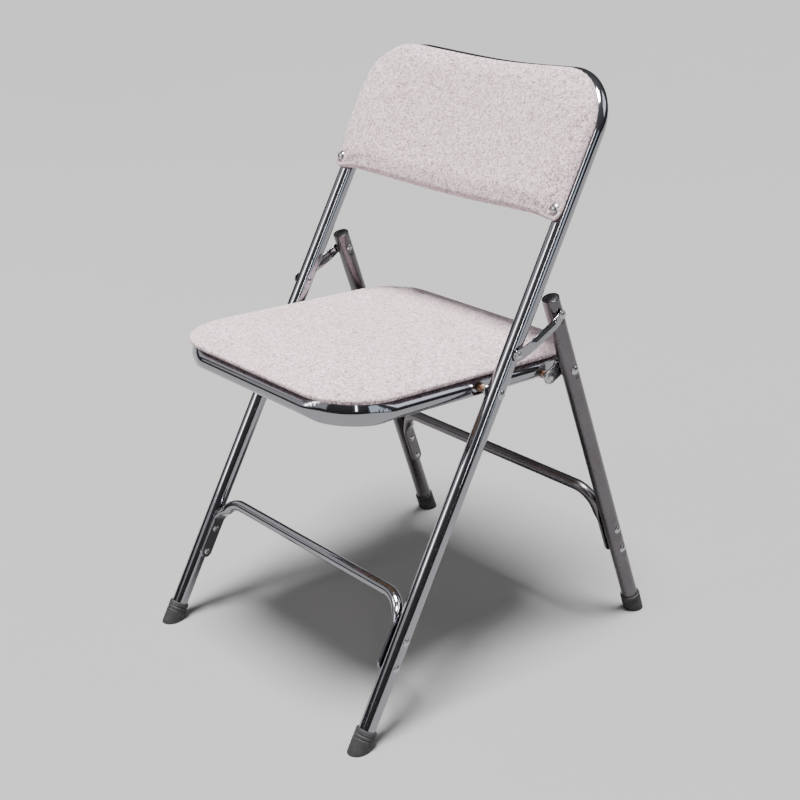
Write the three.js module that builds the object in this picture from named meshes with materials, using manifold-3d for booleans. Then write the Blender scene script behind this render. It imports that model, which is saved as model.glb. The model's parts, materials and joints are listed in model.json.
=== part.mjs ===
// Folding chair of bent steel tube with an upholstered seat and backrest.
// Millimetres, +Z up. The chair faces -Y and its right side, seen from the sitter, is +X.
// The origin is on the floor under the middle of the chair.

import * as THREE from 'three';
import { mergeVertices } from 'three/addons/utils/BufferGeometryUtils.js';
import Module from 'manifold-3d';

const wasm = await Module();
wasm.setup();

// ---------------------------------------------------------------- driving dimensions

const GAP = 0.3;                    // air left between touching pieces
const TUBE_R = 11.1;                // main frame tube, 22.2 mm outside
const TUBE_WALL = 1.2;
const TUBE_SIDES = 12;
const BAR_R = 7.9;                  // crossbar tube, 15.8 mm outside
const BAR_WALL = 1;
const BAR_SIDES = 8;

const FRONT_LEAN = Math.atan(0.5962);   // front legs and back lean this far back
const FRONT_FOOT_X = 209.7;
const FRONT_TAPER = 0.0076;             // legs close in by this much per mm of their length
const BACK_TOP = 871;                   // top bar, measured along the lean
const BACK_CORNER_R = 68;
const BACK_BOW = 20;                    // the top bar and the backrest bow back by this much

const REAR_LEAN = Math.atan(0.326);     // rear legs lean forward
const REAR_FOOT_Y = 497.4;
const REAR_FOOT_X = 219;
const REAR_TAPER = 0.0244;
const REAR_LEG_TOP = 526;

const SEAT_SLOPE = Math.atan(0.069);    // the seat falls towards the back
const SEAT_FRONT_Y = 29;
const SEAT_FRONT_Z = 417;
const SEAT_HALF_WIDTH = 176;
const SEAT_DEPTH = 383;
const SEAT_FRONT_CORNER_R = 70;
const SEAT_REAR_CORNER_R = 56;

const SEAT_PIVOT = [239.5, 401.7];      // [y, z], seat on front legs
const REAR_PIVOT = [346, 389.5];        // rear leg brackets on seat
const BRACKET_RIVET = [367.5, 398.4];   // brackets on rear legs
const LINK_FRONT = [266, 446.2];        // links on front legs
const LINK_REAR = [341.2, 479.1];       // links on rear legs

const FOOT_R = 13.6;
const FOOT_TOP = 28;
const FOOT_SIDES = 16;
const FOOT_SOLE = 12;                   // rubber under the tube's end, along the leg
const FOOT_MIDDLE = (FOOT_SOLE + FOOT_TOP) / 2;
const RIVET_SIDES = 8;

const BACK_PAD_BOTTOM = 689;
const BACK_PAD_TOP = 877;
const BACK_PAD_HALF_WIDTH = 215;
const BACK_PAD_CORNER_R = 78;
const BACK_PAD_FRONT = -30;             // the front frame's depth axis points back
const BACKREST_GAP = 1;                 // between the bowed tube and the bowed panel
const BACK_PANEL_THICKNESS = 3;
const BACK_RIVET_HEIGHT = 700;

const BOARD_THICKNESS = 5;
const SEAT_PAD_TOP = 34;                // above the ring's centre
const SEAT_PAD_MARGIN = 8;              // how far the pad reaches outside the ring's centre line
const SEAT_PAD_ROUNDING = 9;

const FRONT_BAR_HEIGHT = 191;           // crossbars, along their legs
const REAR_BAR_HEIGHT = 207;
const BAR_BEND_R = 32;
const BAR_PLATE_THICKNESS = 5;
const BAR_PLATE_WIDTH = 19;

const FOOTPRINT_FRONT = -FOOT_R / Math.cos(FRONT_LEAN);
const FOOTPRINT_REAR = REAR_FOOT_Y + FOOT_R / Math.cos(REAR_LEAN);
const MIDDLE_Y = (FOOTPRINT_FRONT + FOOTPRINT_REAR) / 2;

const SIDES = { right: 1, left: -1 };

// ---------------------------------------------------------------- materials

function finish(color, roughness, metalness) {
  return new THREE.MeshStandardMaterial({ color, roughness, metalness });
}

const chrome = finish(0xb9bac0, 0.12, 1);
const dullChrome = finish(0x86868c, 0.3, 1);
const zincSteel = finish(0x9a9a9e, 0.35, 1);
const rustySteel = finish(0x6b4a35, 0.7, 0.5);
const blackRubber = finish(0x121213, 0.8, 0);
const blackPlastic = finish(0x17171a, 0.5, 0);
const greyFabric = finish(0xb9aeb2, 0.95, 0);
const hardboard = finish(0x4a3527, 0.8, 0);
const backPlastic = finish(0x2c2a2d, 0.6, 0);

// ---------------------------------------------------------------- groups that carry the leans

const chair = new THREE.Group();
chair.position.y = -MIDDLE_Y;

// Along this group's Z runs the front leg, and its Y points to the rear of the backrest.
const front = new THREE.Group();
front.rotation.x = -FRONT_LEAN;
chair.add(front);

// Along this group's Z runs the rear leg.
const rear = new THREE.Group();
rear.position.y = REAR_FOOT_Y;
rear.rotation.x = REAR_LEAN;
chair.add(rear);

// In this group's XY plane lies the centre line of the seat ring, with y = 0 at its front.
const seat = new THREE.Group();
seat.position.set(0, SEAT_FRONT_Y, SEAT_FRONT_Z);
seat.rotation.x = -SEAT_SLOPE;
chair.add(seat);
chair.updateMatrixWorld(true);

// A side-view point [y, z] of the chair, in a group's own y and z.
function pointIn(group, [y, z]) {
  return group.worldToLocal(new THREE.Vector3(0, y - MIDDLE_Y, z));
}

// ---------------------------------------------------------------- shape helpers

// A route whose corners come one per step, so that a sweep has a section at each of them.
class Route extends THREE.Curve {
  constructor(points) {
    super();
    this.points = points;
  }

  getPoint(t, target = new THREE.Vector3()) {
    const place = Math.min(Math.max(t, 0), 1) * (this.points.length - 1);
    const index = Math.min(Math.floor(place), this.points.length - 2);
    return target.lerpVectors(this.points[index], this.points[index + 1], place - index);
  }

  getPointAt(t, target) {
    return this.getPoint(t, target);
  }

  getTangentAt(t, target) {
    return this.getTangent(t, target);
  }
}

function toSolid(geometry) {
  geometry.deleteAttribute('normal');
  geometry.deleteAttribute('uv');
  const merged = mergeVertices(geometry, 1e-4);
  const vertProperties = new Float32Array(merged.attributes.position.array);
  const triVerts = new Uint32Array(merged.index.array);
  return new wasm.Manifold(new wasm.Mesh({ numProp: 3, vertProperties, triVerts }));
}

function toGeometry(solid) {
  const mesh = solid.getMesh();
  const geometry = new THREE.BufferGeometry();
  geometry.setAttribute('position', new THREE.BufferAttribute(mesh.vertProperties, 3));
  geometry.setIndex(new THREE.BufferAttribute(mesh.triVerts, 1));
  return geometry;
}

function addMesh(group, name, geometry, material) {
  const mesh = new THREE.Mesh(geometry, material);
  mesh.name = name;
  group.add(mesh);
  return mesh;
}

function circle(radius, sides) {
  const shape = new THREE.Shape();
  for (let i = 0; i < sides; i += 1) {
    const angle = (2 * Math.PI * i) / sides;
    const method = i === 0 ? 'moveTo' : 'lineTo';
    shape[method](radius * Math.cos(angle), radius * Math.sin(angle));
  }
  shape.closePath();
  return shape;
}

// A bar swept along points, hollow when it has a wall.
function sweep(points, radius, sides, wall = 0) {
  const section = circle(radius, sides);
  if (wall > 0) section.holes.push(circle(radius - wall, sides));
  const extrudePath = new Route(points);
  return new THREE.ExtrudeGeometry(section, { steps: points.length - 1, extrudePath });
}

// Points of an arc in a plane, from one angle to another.
function arc(centre, radius, from, to, steps, toPoint) {
  const points = [];
  for (let i = 0; i <= steps; i += 1) {
    const angle = from + ((to - from) * i) / steps;
    points.push(toPoint(centre[0] + radius * Math.cos(angle), centre[1] + radius * Math.sin(angle)));
  }
  return points;
}

// A rectangle with rounded corners, from x0, y0 to x1, y1.
function roundedRectangle(x0, y0, x1, y1, lowRadius, highRadius) {
  const shape = new THREE.Shape();
  shape.moveTo(x0 + lowRadius, y0);
  shape.lineTo(x1 - lowRadius, y0);
  shape.absarc(x1 - lowRadius, y0 + lowRadius, lowRadius, -Math.PI / 2, 0, false);
  shape.lineTo(x1, y1 - highRadius);
  shape.absarc(x1 - highRadius, y1 - highRadius, highRadius, 0, Math.PI / 2, false);
  shape.lineTo(x0 + highRadius, y1);
  shape.absarc(x0 + highRadius, y1 - highRadius, highRadius, Math.PI / 2, Math.PI, false);
  shape.lineTo(x0, y0 + lowRadius);
  shape.absarc(x0 + lowRadius, y0 + lowRadius, lowRadius, Math.PI, 1.5 * Math.PI, false);
  return shape;
}

// A cylinder along X (or along Y) between two places on that axis.
function rod(axis, from, to, radius, y, z) {
  const geometry = new THREE.CylinderGeometry(radius, radius, Math.abs(to - from), RIVET_SIDES);
  if (axis === 'x') {
    geometry.rotateZ(Math.PI / 2);
    geometry.translate((from + to) / 2, y, z);
  } else {
    geometry.translate(y, (from + to) / 2, z);
  }
  return toSolid(geometry);
}

function box(x0, x1, y0, y1, z0, z1) {
  const geometry = new THREE.BoxGeometry(x1 - x0, y1 - y0, z1 - z0);
  geometry.translate((x0 + x1) / 2, (y0 + y1) / 2, (z0 + z1) / 2);
  return toSolid(geometry);
}

// A plate whose outline is drawn in the side view and whose thickness runs along X.
function sidePlate(shape, x0, x1) {
  const geometry = new THREE.ExtrudeGeometry(shape, {
    depth: x1 - x0,
    bevelEnabled: false,
    curveSegments: 5,
  });
  const along = new THREE.Vector3(0, 1, 0);
  const up = new THREE.Vector3(0, 0, 1);
  const across = new THREE.Vector3(1, 0, 0);
  geometry.applyMatrix4(new THREE.Matrix4().makeBasis(along, up, across));
  geometry.translate(x0, 0, 0);
  return geometry;
}

// A rivet along +X: a domed head that starts at headX and grows outwards, a shank that runs
// inwards, and a flat tail that starts at tailX and grows inwards.
function rivetProfile(headX, tailX, shankR, headR, headHeight, tailR, tailHeight) {
  return [
    [0, tailX - tailHeight],
    [tailR * 0.8, tailX - tailHeight],
    [tailR, tailX - tailHeight * 0.5],
    [tailR, tailX],
    [shankR, tailX],
    [shankR, headX],
    [headR, headX],
    [headR * 0.94, headX + headHeight * 0.35],
    [headR * 0.66, headX + headHeight * 0.8],
    [0, headX + headHeight],
  ].map(([radius, height]) => new THREE.Vector2(radius, height));
}

const RIVET = { shankR: 2.5, headR: 5.2, headHeight: 2.6, tailR: 4.6, tailHeight: 1.6 };

// Rivets whose heads face outwards, on either side of the chair, at y and z of their group.
function sideRivet(group, name, side, headX, tailX, y, z, material, size = RIVET) {
  const profile = rivetProfile(
    headX, tailX, size.shankR, size.headR, size.headHeight, size.tailR, size.tailHeight,
  );
  const geometry = new THREE.LatheGeometry(profile, RIVET_SIDES);
  geometry.rotateZ(-Math.PI / 2);
  if (side < 0) geometry.rotateY(Math.PI);
  geometry.translate(0, y, z);
  addMesh(group, name, toGeometry(toSolid(geometry)), material);
}

// ---------------------------------------------------------------- where the legs run

function frontLegX(height) {
  return FRONT_FOOT_X - FRONT_TAPER * height;
}

function rearLegX(height) {
  return REAR_FOOT_X - REAR_TAPER * height;
}

// How far the backrest lies behind the legs' plane at a distance x from the middle.
function bow(x) {
  const half = frontLegX(BACK_TOP - BACK_CORNER_R);
  if (Math.abs(x) >= half) return 0;
  return BACK_BOW * Math.cos((Math.PI * x) / (2 * half)) ** 2;
}

// ---------------------------------------------------------------- rivet places

const FRONT_BAR_RIVETS = { upper: 145.5, lower: 111 };
const REAR_BAR_RIVETS = { upper: 150.3, lower: 115.6 };
const HOLE_R = RIVET.shankR + GAP;

const seatPivotOnFront = pointIn(front, SEAT_PIVOT);
const linkOnFront = pointIn(front, LINK_FRONT);
const bracketOnRear = pointIn(rear, BRACKET_RIVET);
const linkOnRear = pointIn(rear, LINK_REAR);
const seatPivotOnSeat = pointIn(seat, SEAT_PIVOT);
const rearPivotOnSeat = pointIn(seat, REAR_PIVOT);
const rearPivotOnRear = pointIn(rear, REAR_PIVOT);

// ---------------------------------------------------------------- front frame

// One tube: up a leg, over the top bar and down the other leg.
function frontFramePoints() {
  const shoulder = BACK_TOP - BACK_CORNER_R;
  const half = frontLegX(shoulder);
  const onFrame = (x, z) => new THREE.Vector3(x, bow(x), z);
  const corner = arc([half - BACK_CORNER_R, shoulder], BACK_CORNER_R, 0, Math.PI / 2, 7, onFrame);
  const topBar = [];
  const topHalf = half - BACK_CORNER_R;
  for (const share of [0.66, 0.33]) topBar.push(onFrame(topHalf * share, BACK_TOP));
  const rightHalf = [
    new THREE.Vector3(frontLegX(FOOT_SOLE), 0, FOOT_SOLE),
    ...corner,
    ...topBar,
  ];
  const leftHalf = rightHalf.map((point) => new THREE.Vector3(-point.x, point.y, point.z)).reverse();
  return [...rightHalf, onFrame(0, BACK_TOP), ...leftHalf];
}

function makeFrontFrame() {
  let tube = toSolid(sweep(frontFramePoints(), TUBE_R, TUBE_SIDES, TUBE_WALL));
  const heights = [
    ...Object.values(FRONT_BAR_RIVETS),
    seatPivotOnFront.z,
    linkOnFront.z,
  ];
  for (const side of Object.values(SIDES)) {
    for (const height of heights) {
      const x = side * frontLegX(height);
      tube = tube.subtract(rod('x', x - 20, x + 20, HOLE_R, 0, height));
    }
    const x = side * frontLegX(BACK_RIVET_HEIGHT);
    tube = tube.subtract(rod('y', -20, 20, HOLE_R, x, BACK_RIVET_HEIGHT));
  }
  addMesh(front, 'front_frame_tube', toGeometry(tube), chrome);
}

// ---------------------------------------------------------------- rear legs

function makeRearLeg(sideName, side) {
  const points = [FOOT_SOLE, REAR_LEG_TOP].map(
    (height) => new THREE.Vector3(side * rearLegX(height), 0, height),
  );
  let tube = toSolid(sweep(points, TUBE_R, TUBE_SIDES, TUBE_WALL));
  for (const height of [...Object.values(REAR_BAR_RIVETS), bracketOnRear.z]) {
    const x = side * rearLegX(height);
    tube = tube.subtract(rod('x', x - 20, x + 20, HOLE_R, 0, height));
  }
  addMesh(rear, `rear_leg_${sideName}`, toGeometry(tube), dullChrome);

  const plugR = TUBE_R - TUBE_WALL - GAP;
  const profile = [
    [0, REAR_LEG_TOP - 14],
    [plugR - 1, REAR_LEG_TOP - 14],
    [plugR, REAR_LEG_TOP - 12],
    [plugR, REAR_LEG_TOP - 1.5],
    [plugR * 0.7, REAR_LEG_TOP],
    [0, REAR_LEG_TOP + 0.5],
  ].map(([radius, height]) => new THREE.Vector2(radius, height));
  const plug = new THREE.LatheGeometry(profile, TUBE_SIDES);
  plug.rotateX(Math.PI / 2);
  plug.translate(side * rearLegX(REAR_LEG_TOP), 0, 0);
  addMesh(rear, `rear_leg_plug_${sideName}`, toGeometry(toSolid(plug)), blackPlastic);
}

// ---------------------------------------------------------------- crossbars

// A tube bent down at both ends, where it becomes a flat plate against the inside of each leg.
function makeCrossbar(group, name, legX, height, rivetHeights, material) {
  const plateTop = height - BAR_BEND_R;
  const plateBottom = rivetHeights.lower - 10;
  const legInside = legX(plateTop) - TUBE_R - GAP;
  const endX = legInside - BAR_R - GAP;
  const onBar = (x, z) => new THREE.Vector3(x, 0, z);
  const bend = arc([endX - BAR_BEND_R, plateTop], BAR_BEND_R, 0, Math.PI / 2, 5, onBar);
  const rightHalf = [onBar(endX, plateTop - 12), ...bend];
  const leftHalf = rightHalf.map((point) => onBar(-point.x, point.z)).reverse();
  let bar = toSolid(sweep([...rightHalf, ...leftHalf], BAR_R, BAR_SIDES, BAR_WALL));

  for (const side of Object.values(SIDES)) {
    const outline = roundedRectangle(
      -BAR_PLATE_WIDTH / 2, plateBottom, BAR_PLATE_WIDTH / 2, plateTop + 4, 9, 4,
    );
    const inner = legInside - BAR_PLATE_THICKNESS;
    const span = side > 0 ? [inner, legInside] : [-legInside, -inner];
    bar = bar.add(toSolid(sidePlate(outline, ...span)));
    for (const rivetHeight of Object.values(rivetHeights)) {
      bar = bar.subtract(rod('x', side * inner - 12, side * inner + 12, HOLE_R, 0, rivetHeight));
    }
  }
  addMesh(group, name, toGeometry(bar), material);

  for (const [sideName, side] of Object.entries(SIDES)) {
    for (const [level, rivetHeight] of Object.entries(rivetHeights)) {
      const headX = legX(rivetHeight) + TUBE_R + GAP;
      const tailX = legInside - BAR_PLATE_THICKNESS - GAP;
      const rivetName = `${name}_rivet_${sideName}_${level}`;
      sideRivet(group, rivetName, side, headX, tailX, 0, rivetHeight, zincSteel);
    }
  }
}

// ---------------------------------------------------------------- feet

// A rubber cup on the leg's end, ground flat on the floor.
function makeFoot(group, name, lean, x) {
  const profile = [
    [0, -FOOT_R],
    [FOOT_R, -FOOT_R],
    [FOOT_R, FOOT_TOP - 2],
    [FOOT_R - 0.8, FOOT_TOP],
    [TUBE_R + 2 * GAP, FOOT_TOP],
    [TUBE_R + 2 * GAP, FOOT_SOLE - GAP],
    [0, FOOT_SOLE - GAP],
  ].map(([radius, height]) => new THREE.Vector2(radius, height));
  const cup = new THREE.LatheGeometry(profile, FOOT_SIDES);
  cup.rotateX(Math.PI / 2);
  cup.translate(x, 0, 0);
  const below = new THREE.BoxGeometry(4 * FOOT_R, 6 * FOOT_R, 2 * FOOT_R);
  below.translate(0, 0, -FOOT_R);
  below.rotateX(-lean);
  below.translate(x, 0, 0);
  addMesh(group, name, toGeometry(toSolid(cup).subtract(toSolid(below))), blackRubber);
}

// ---------------------------------------------------------------- seat ring

// Points on the ring's centre line from one y to another, going round the front or the rear.
function ringPoints() {
  const w = SEAT_HALF_WIDTH;
  const onRing = (x, y) => new THREE.Vector3(x, y, 0);
  const frontR = SEAT_FRONT_CORNER_R;
  const rearR = SEAT_REAR_CORNER_R;
  return {
    frontRight: arc([w - frontR, frontR], frontR, 0, -Math.PI / 2, 6, onRing),
    frontLeft: arc([frontR - w, frontR], frontR, -Math.PI / 2, -Math.PI, 6, onRing),
    rearLeft: arc([rearR - w, SEAT_DEPTH - rearR], rearR, Math.PI, Math.PI / 2, 6, onRing),
    rearRight: arc([w - rearR, SEAT_DEPTH - rearR], rearR, Math.PI / 2, 0, 6, onRing),
  };
}

const CRIMP_FACE_X = 178.5;                       // the ring is pressed in to here at its pivots
const CRIMPS = {
  front: [seatPivotOnSeat.y - 16, seatPivotOnSeat.y + 26],
  rear: [rearPivotOnSeat.y - 9, rearPivotOnSeat.y + 34],
};
const TAB = { root: 5.8, reach: 26, halfWidth: 11, thickness: 3, screwAt: 17 };
const SEAT_SCREWS = {
  front_right: { x: 110, rail: 0, inward: 1 },
  front_left: { x: -110, rail: 0, inward: 1 },
  rear_right: { x: 105, rail: SEAT_DEPTH, inward: -1 },
  rear_left: { x: -105, rail: SEAT_DEPTH, inward: -1 },
};
const TAB_TOP = TUBE_R - 0.2;
const SCREW_SHANK_R = 2.2;
const VENT_R = 2.5;                              // plating drain hole under each rail

// An upright cylinder, used as a hole.
function uprightRod(x, y, from, to, radius) {
  const geometry = new THREE.CylinderGeometry(radius, radius, to - from, 8);
  geometry.rotateX(Math.PI / 2);
  geometry.translate(x, y, (from + to) / 2);
  return toSolid(geometry);
}

function screwY({ rail, inward }) {
  return rail + inward * TAB.screwAt;
}

function makeSeatRing() {
  const { frontRight, frontLeft, rearLeft, rearRight } = ringPoints();
  const loop = [...frontRight, ...frontLeft, ...rearLeft, ...rearRight];
  const outer = new THREE.TubeGeometry(new ClosedRoute(loop), loop.length, TUBE_R, TUBE_SIDES, true);
  let ring = toSolid(outer);

  const boreR = TUBE_R - TUBE_WALL;
  const [frontCrimp] = CRIMPS.front;
  const [, rearCrimp] = CRIMPS.rear;
  const onSide = (side, y) => new THREE.Vector3(side * SEAT_HALF_WIDTH, y, 0);
  const frontBore = [onSide(1, frontCrimp - 8), ...frontRight, ...frontLeft, onSide(-1, frontCrimp - 8)];
  ring = ring.subtract(toSolid(sweep(frontBore, boreR, TUBE_SIDES)));
  const behindCrimp = (point) => point.y > rearCrimp + 4;
  const rearBore = [...rearLeft.filter(behindCrimp), ...rearRight.filter(behindCrimp)];
  ring = ring.subtract(toSolid(sweep(rearBore, boreR, TUBE_SIDES)));

  for (const side of Object.values(SIDES)) {
    for (const [from, to] of Object.values(CRIMPS)) {
      const outside = side > 0 ? [CRIMP_FACE_X, 220] : [-220, -CRIMP_FACE_X];
      ring = ring.subtract(box(...outside, from, to, -20, 20));
    }
    for (const pivot of [seatPivotOnSeat, rearPivotOnSeat]) {
      const x = side * SEAT_HALF_WIDTH;
      ring = ring.subtract(rod('x', x - 20, x + 20, PIVOT.shankR + GAP, pivot.y, pivot.z));
    }
  }
  for (const screw of Object.values(SEAT_SCREWS)) {
    const [from, to] = [TAB.root, TAB.reach].map((reach) => screw.rail + screw.inward * reach);
    const tab = box(
      screw.x - TAB.halfWidth, screw.x + TAB.halfWidth, Math.min(from, to), Math.max(from, to),
      TAB_TOP - TAB.thickness, TAB_TOP,
    );
    ring = ring.add(tab);
    ring = ring.subtract(uprightRod(screw.x, screwY(screw), 0, 20, SCREW_SHANK_R + GAP));
  }
  for (const rail of [0, SEAT_DEPTH]) ring = ring.subtract(uprightRod(0, rail, -20, 0, VENT_R));
  addMesh(seat, 'seat_ring', toGeometry(ring), chrome);
}

// The same route with its last point joined to its first.
class ClosedRoute extends Route {
  constructor(points) {
    super([...points, points[0]]);
  }
}

// ---------------------------------------------------------------- pivots, spacers, brackets, links

const PIVOT = { shankR: 3, headR: 6.2, headHeight: 2.8, tailR: 5.4, tailHeight: 2 };
const LINK_RIVET = { shankR: 2.5, headR: 5, headHeight: 2.4, tailR: 3.8, tailHeight: 0.9 };
const BRACKET_THICKNESS = 3;
const LINK_THICKNESS = 2.2;
const SPACER_R = 6;
const RING_INSIDE_X = SEAT_HALF_WIDTH - TUBE_R;
const TAIL_GAP = 1;                             // under the tail of a rivet that a body turns on

function annulus(innerR, outerR, from, to) {
  const profile = [[innerR, from], [outerR, from], [outerR, to], [innerR, to], [innerR, from]]
    .map(([radius, height]) => new THREE.Vector2(radius, height));
  const geometry = new THREE.LatheGeometry(profile, RIVET_SIDES);
  geometry.rotateZ(-Math.PI / 2);
  return geometry;
}

// The seat turns on a rivet through each front leg, a spacer and the crimped ring.
function makeSeatPivot(sideName, side) {
  const legX = frontLegX(seatPivotOnFront.z);
  const tailX = RING_INSIDE_X - TAIL_GAP;
  sideRivet(
    front, `seat_pivot_rivet_${sideName}`, side, legX + TUBE_R + GAP, tailX,
    seatPivotOnFront.y, seatPivotOnFront.z, zincSteel, { ...PIVOT, shankR: RIVET.shankR },
  );
  addSpacer(front, `seat_pivot_spacer_${sideName}`, side, legX - TUBE_R - GAP, seatPivotOnFront);
}

// A short tube on a pivot's rivet, from the crimped ring out to a leg or bracket.
function addSpacer(group, name, side, outside, pivot) {
  const spacer = annulus(PIVOT.shankR + GAP, SPACER_R, CRIMP_FACE_X + GAP, outside);
  if (side < 0) spacer.rotateY(Math.PI);
  spacer.translate(0, pivot.y, pivot.z);
  addMesh(group, name, toGeometry(toSolid(spacer)), rustySteel);
}

// A plate on the inside of each rear leg carries the seat's rear pivot.
function makeRearBracket(sideName, side) {
  const legInside = rearLegX(bracketOnRear.z) - TUBE_R - GAP;
  const inner = legInside - BRACKET_THICKNESS;
  const reach = new THREE.Vector2(
    bracketOnRear.y - rearPivotOnRear.y, bracketOnRear.z - rearPivotOnRear.z,
  );
  const outline = roundedRectangle(-10, -10, reach.length() + 10, 10, 9.5, 9.5);
  const span = side > 0 ? [inner, legInside] : [-legInside, -inner];
  const plate = sidePlate(outline, ...span);
  plate.rotateX(reach.angle());
  plate.translate(0, rearPivotOnRear.y, rearPivotOnRear.z);
  let bracket = toSolid(plate);
  for (const [pivot, radius] of [[rearPivotOnRear, PIVOT.shankR], [bracketOnRear, RIVET.shankR]]) {
    const x = side * inner;
    bracket = bracket.subtract(rod('x', x - 12, x + 12, radius + GAP, pivot.y, pivot.z));
  }
  addMesh(rear, `rear_bracket_${sideName}`, toGeometry(bracket), zincSteel);

  sideRivet(
    rear, `bracket_rivet_${sideName}`, side, rearLegX(bracketOnRear.z) + TUBE_R + GAP, inner - GAP,
    bracketOnRear.y, bracketOnRear.z, zincSteel,
  );
  sideRivet(
    rear, `rear_pivot_rivet_${sideName}`, side, legInside + GAP, RING_INSIDE_X - TAIL_GAP,
    rearPivotOnRear.y, rearPivotOnRear.z, zincSteel, PIVOT,
  );
  addSpacer(rear, `rear_pivot_spacer_${sideName}`, side, inner - GAP, rearPivotOnRear);
}

// A stamped strip on the outside of each pair of legs. Between its two eyes it is set lower than
// the line from rivet to rivet.
function linkOutline(length) {
  const shape = new THREE.Shape();
  const frontR = 8;
  const rearR = 6.8;
  const lowerEdge = -8.3;
  const upperEdge = 2.6;
  shape.absarc(0, 0, frontR, Math.PI / 2, 1.5 * Math.PI, false);
  shape.lineTo(length * 0.68, lowerEdge);
  shape.quadraticCurveTo(length * 0.86, lowerEdge, length, -rearR);
  shape.absarc(length, 0, rearR, -Math.PI / 2, Math.PI / 2, false);
  shape.quadraticCurveTo(length * 0.92, upperEdge, length * 0.8, upperEdge);
  shape.lineTo(length * 0.28, upperEdge);
  shape.quadraticCurveTo(length * 0.12, upperEdge + 0.6, 0, frontR);
  return shape;
}

function makeLink(sideName, side) {
  const reach = new THREE.Vector2(LINK_REAR[0] - LINK_FRONT[0], LINK_REAR[1] - LINK_FRONT[1]);
  const legX = Math.max(frontLegX(linkOnFront.z), rearLegX(linkOnRear.z));
  const inner = legX + TUBE_R + GAP;
  const outer = inner + LINK_THICKNESS;
  const span = side > 0 ? [inner, outer] : [-outer, -inner];
  const plate = sidePlate(linkOutline(reach.length()), ...span);
  plate.rotateX(reach.angle());
  let link = toSolid(plate);
  for (const [y, z] of [[0, 0], [reach.x, reach.y]]) {
    link = link.subtract(rod('x', side * inner - 12, side * inner + 12, HOLE_R, y, z));
  }
  const mesh = addMesh(chair, `link_${sideName}`, toGeometry(link), chrome);
  mesh.position.set(0, LINK_FRONT[0], LINK_FRONT[1]);

  const frontLegInside = frontLegX(linkOnFront.z) - TUBE_R - GAP;
  sideRivet(
    front, `link_front_rivet_${sideName}`, side, outer + GAP, frontLegInside,
    linkOnFront.y, linkOnFront.z, zincSteel, LINK_RIVET,
  );

  // The rear rivet's head turns with the link; its short shank stops inside the link's eye.
  const head = rivetProfile(outer + GAP, inner + GAP, 2.1, 5, 2.4, 2.1, 0.2);
  const headGeometry = new THREE.LatheGeometry(head, RIVET_SIDES);
  headGeometry.rotateZ(-Math.PI / 2);
  if (side < 0) headGeometry.rotateY(Math.PI);
  const headMesh = addMesh(
    chair, `link_rear_rivet_${sideName}`, toGeometry(toSolid(headGeometry)), zincSteel,
  );
  headMesh.position.set(0, LINK_REAR[0], LINK_REAR[1]);
}

// ---------------------------------------------------------------- backrest

// A curved slab between two depths, trimmed to an outline drawn in the frame's plane.
function bowedSlab(outline, frontDepth, backDepth) {
  const shape = new THREE.Shape();
  const reach = BACK_PAD_HALF_WIDTH + 4;
  const steps = 18;
  const across = Array.from({ length: steps + 1 }, (_, i) => -reach + (2 * reach * i) / steps);
  shape.moveTo(across[0], bow(across[0]) + frontDepth);
  for (const x of across.slice(1)) shape.lineTo(x, bow(x) + frontDepth);
  for (const x of [...across].reverse()) shape.lineTo(x, bow(x) + backDepth);
  const slab = new THREE.ExtrudeGeometry(shape, { depth: 400, bevelEnabled: false });
  slab.translate(0, 0, 600);
  const prism = new THREE.ExtrudeGeometry(outline, {
    depth: 200,
    bevelEnabled: false,
    curveSegments: 7,
  });
  const right = new THREE.Vector3(1, 0, 0);
  const up = new THREE.Vector3(0, 0, 1);
  const forward = new THREE.Vector3(0, -1, 0);
  prism.applyMatrix4(new THREE.Matrix4().makeBasis(right, up, forward));
  prism.translate(0, 100, 0);
  return toSolid(slab).intersect(toSolid(prism));
}

function backOutline(inset) {
  const half = BACK_PAD_HALF_WIDTH - inset;
  const low = BACK_PAD_BOTTOM + inset;
  const high = BACK_PAD_TOP - inset;
  return roundedRectangle(-half, low, half, high, 10, BACK_PAD_CORNER_R - inset);
}

function makeBackrest() {
  const tubeFront = -TUBE_R - BACKREST_GAP;
  const panelFront = tubeFront - BACK_PANEL_THICKNESS;
  let panel = bowedSlab(backOutline(8), panelFront, tubeFront);
  const recess = bowedSlab(backOutline(8 - GAP), panelFront - GAP, tubeFront + 10);
  let pad = bowedSlab(backOutline(0), BACK_PAD_FRONT, tubeFront).subtract(recess);
  for (const side of Object.values(SIDES)) {
    const hole = rod('y', -60, 20, HOLE_R, side * frontLegX(BACK_RIVET_HEIGHT), BACK_RIVET_HEIGHT);
    panel = panel.subtract(hole);
    pad = pad.subtract(hole);
  }
  addMesh(front, 'back_panel', toGeometry(panel), backPlastic);
  addMesh(front, 'back_pad', toGeometry(pad), greyFabric);

  for (const [sideName, side] of Object.entries(SIDES)) {
    const profile = rivetProfile(-BACK_PAD_FRONT + GAP, -TUBE_R - GAP, 2.5, 6.5, 2.8, 5, 1.6);
    const rivet = new THREE.LatheGeometry(profile, RIVET_SIDES);
    rivet.rotateX(Math.PI);
    rivet.translate(side * frontLegX(BACK_RIVET_HEIGHT), 0, BACK_RIVET_HEIGHT);
    addMesh(front, `back_rivet_${sideName}`, toGeometry(toSolid(rivet)), zincSteel);
  }
}

// ---------------------------------------------------------------- seat board, pad and screws

function seatOutline(margin) {
  return roundedRectangle(
    -SEAT_HALF_WIDTH - margin, -margin, SEAT_HALF_WIDTH + margin, SEAT_DEPTH + margin,
    SEAT_FRONT_CORNER_R + margin, SEAT_REAR_CORNER_R + margin,
  );
}

function flatSlab(shape, bottom, top) {
  const geometry = new THREE.ExtrudeGeometry(shape, {
    depth: top - bottom,
    bevelEnabled: false,
    curveSegments: 6,
  });
  geometry.translate(0, 0, bottom);
  return geometry;
}

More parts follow.
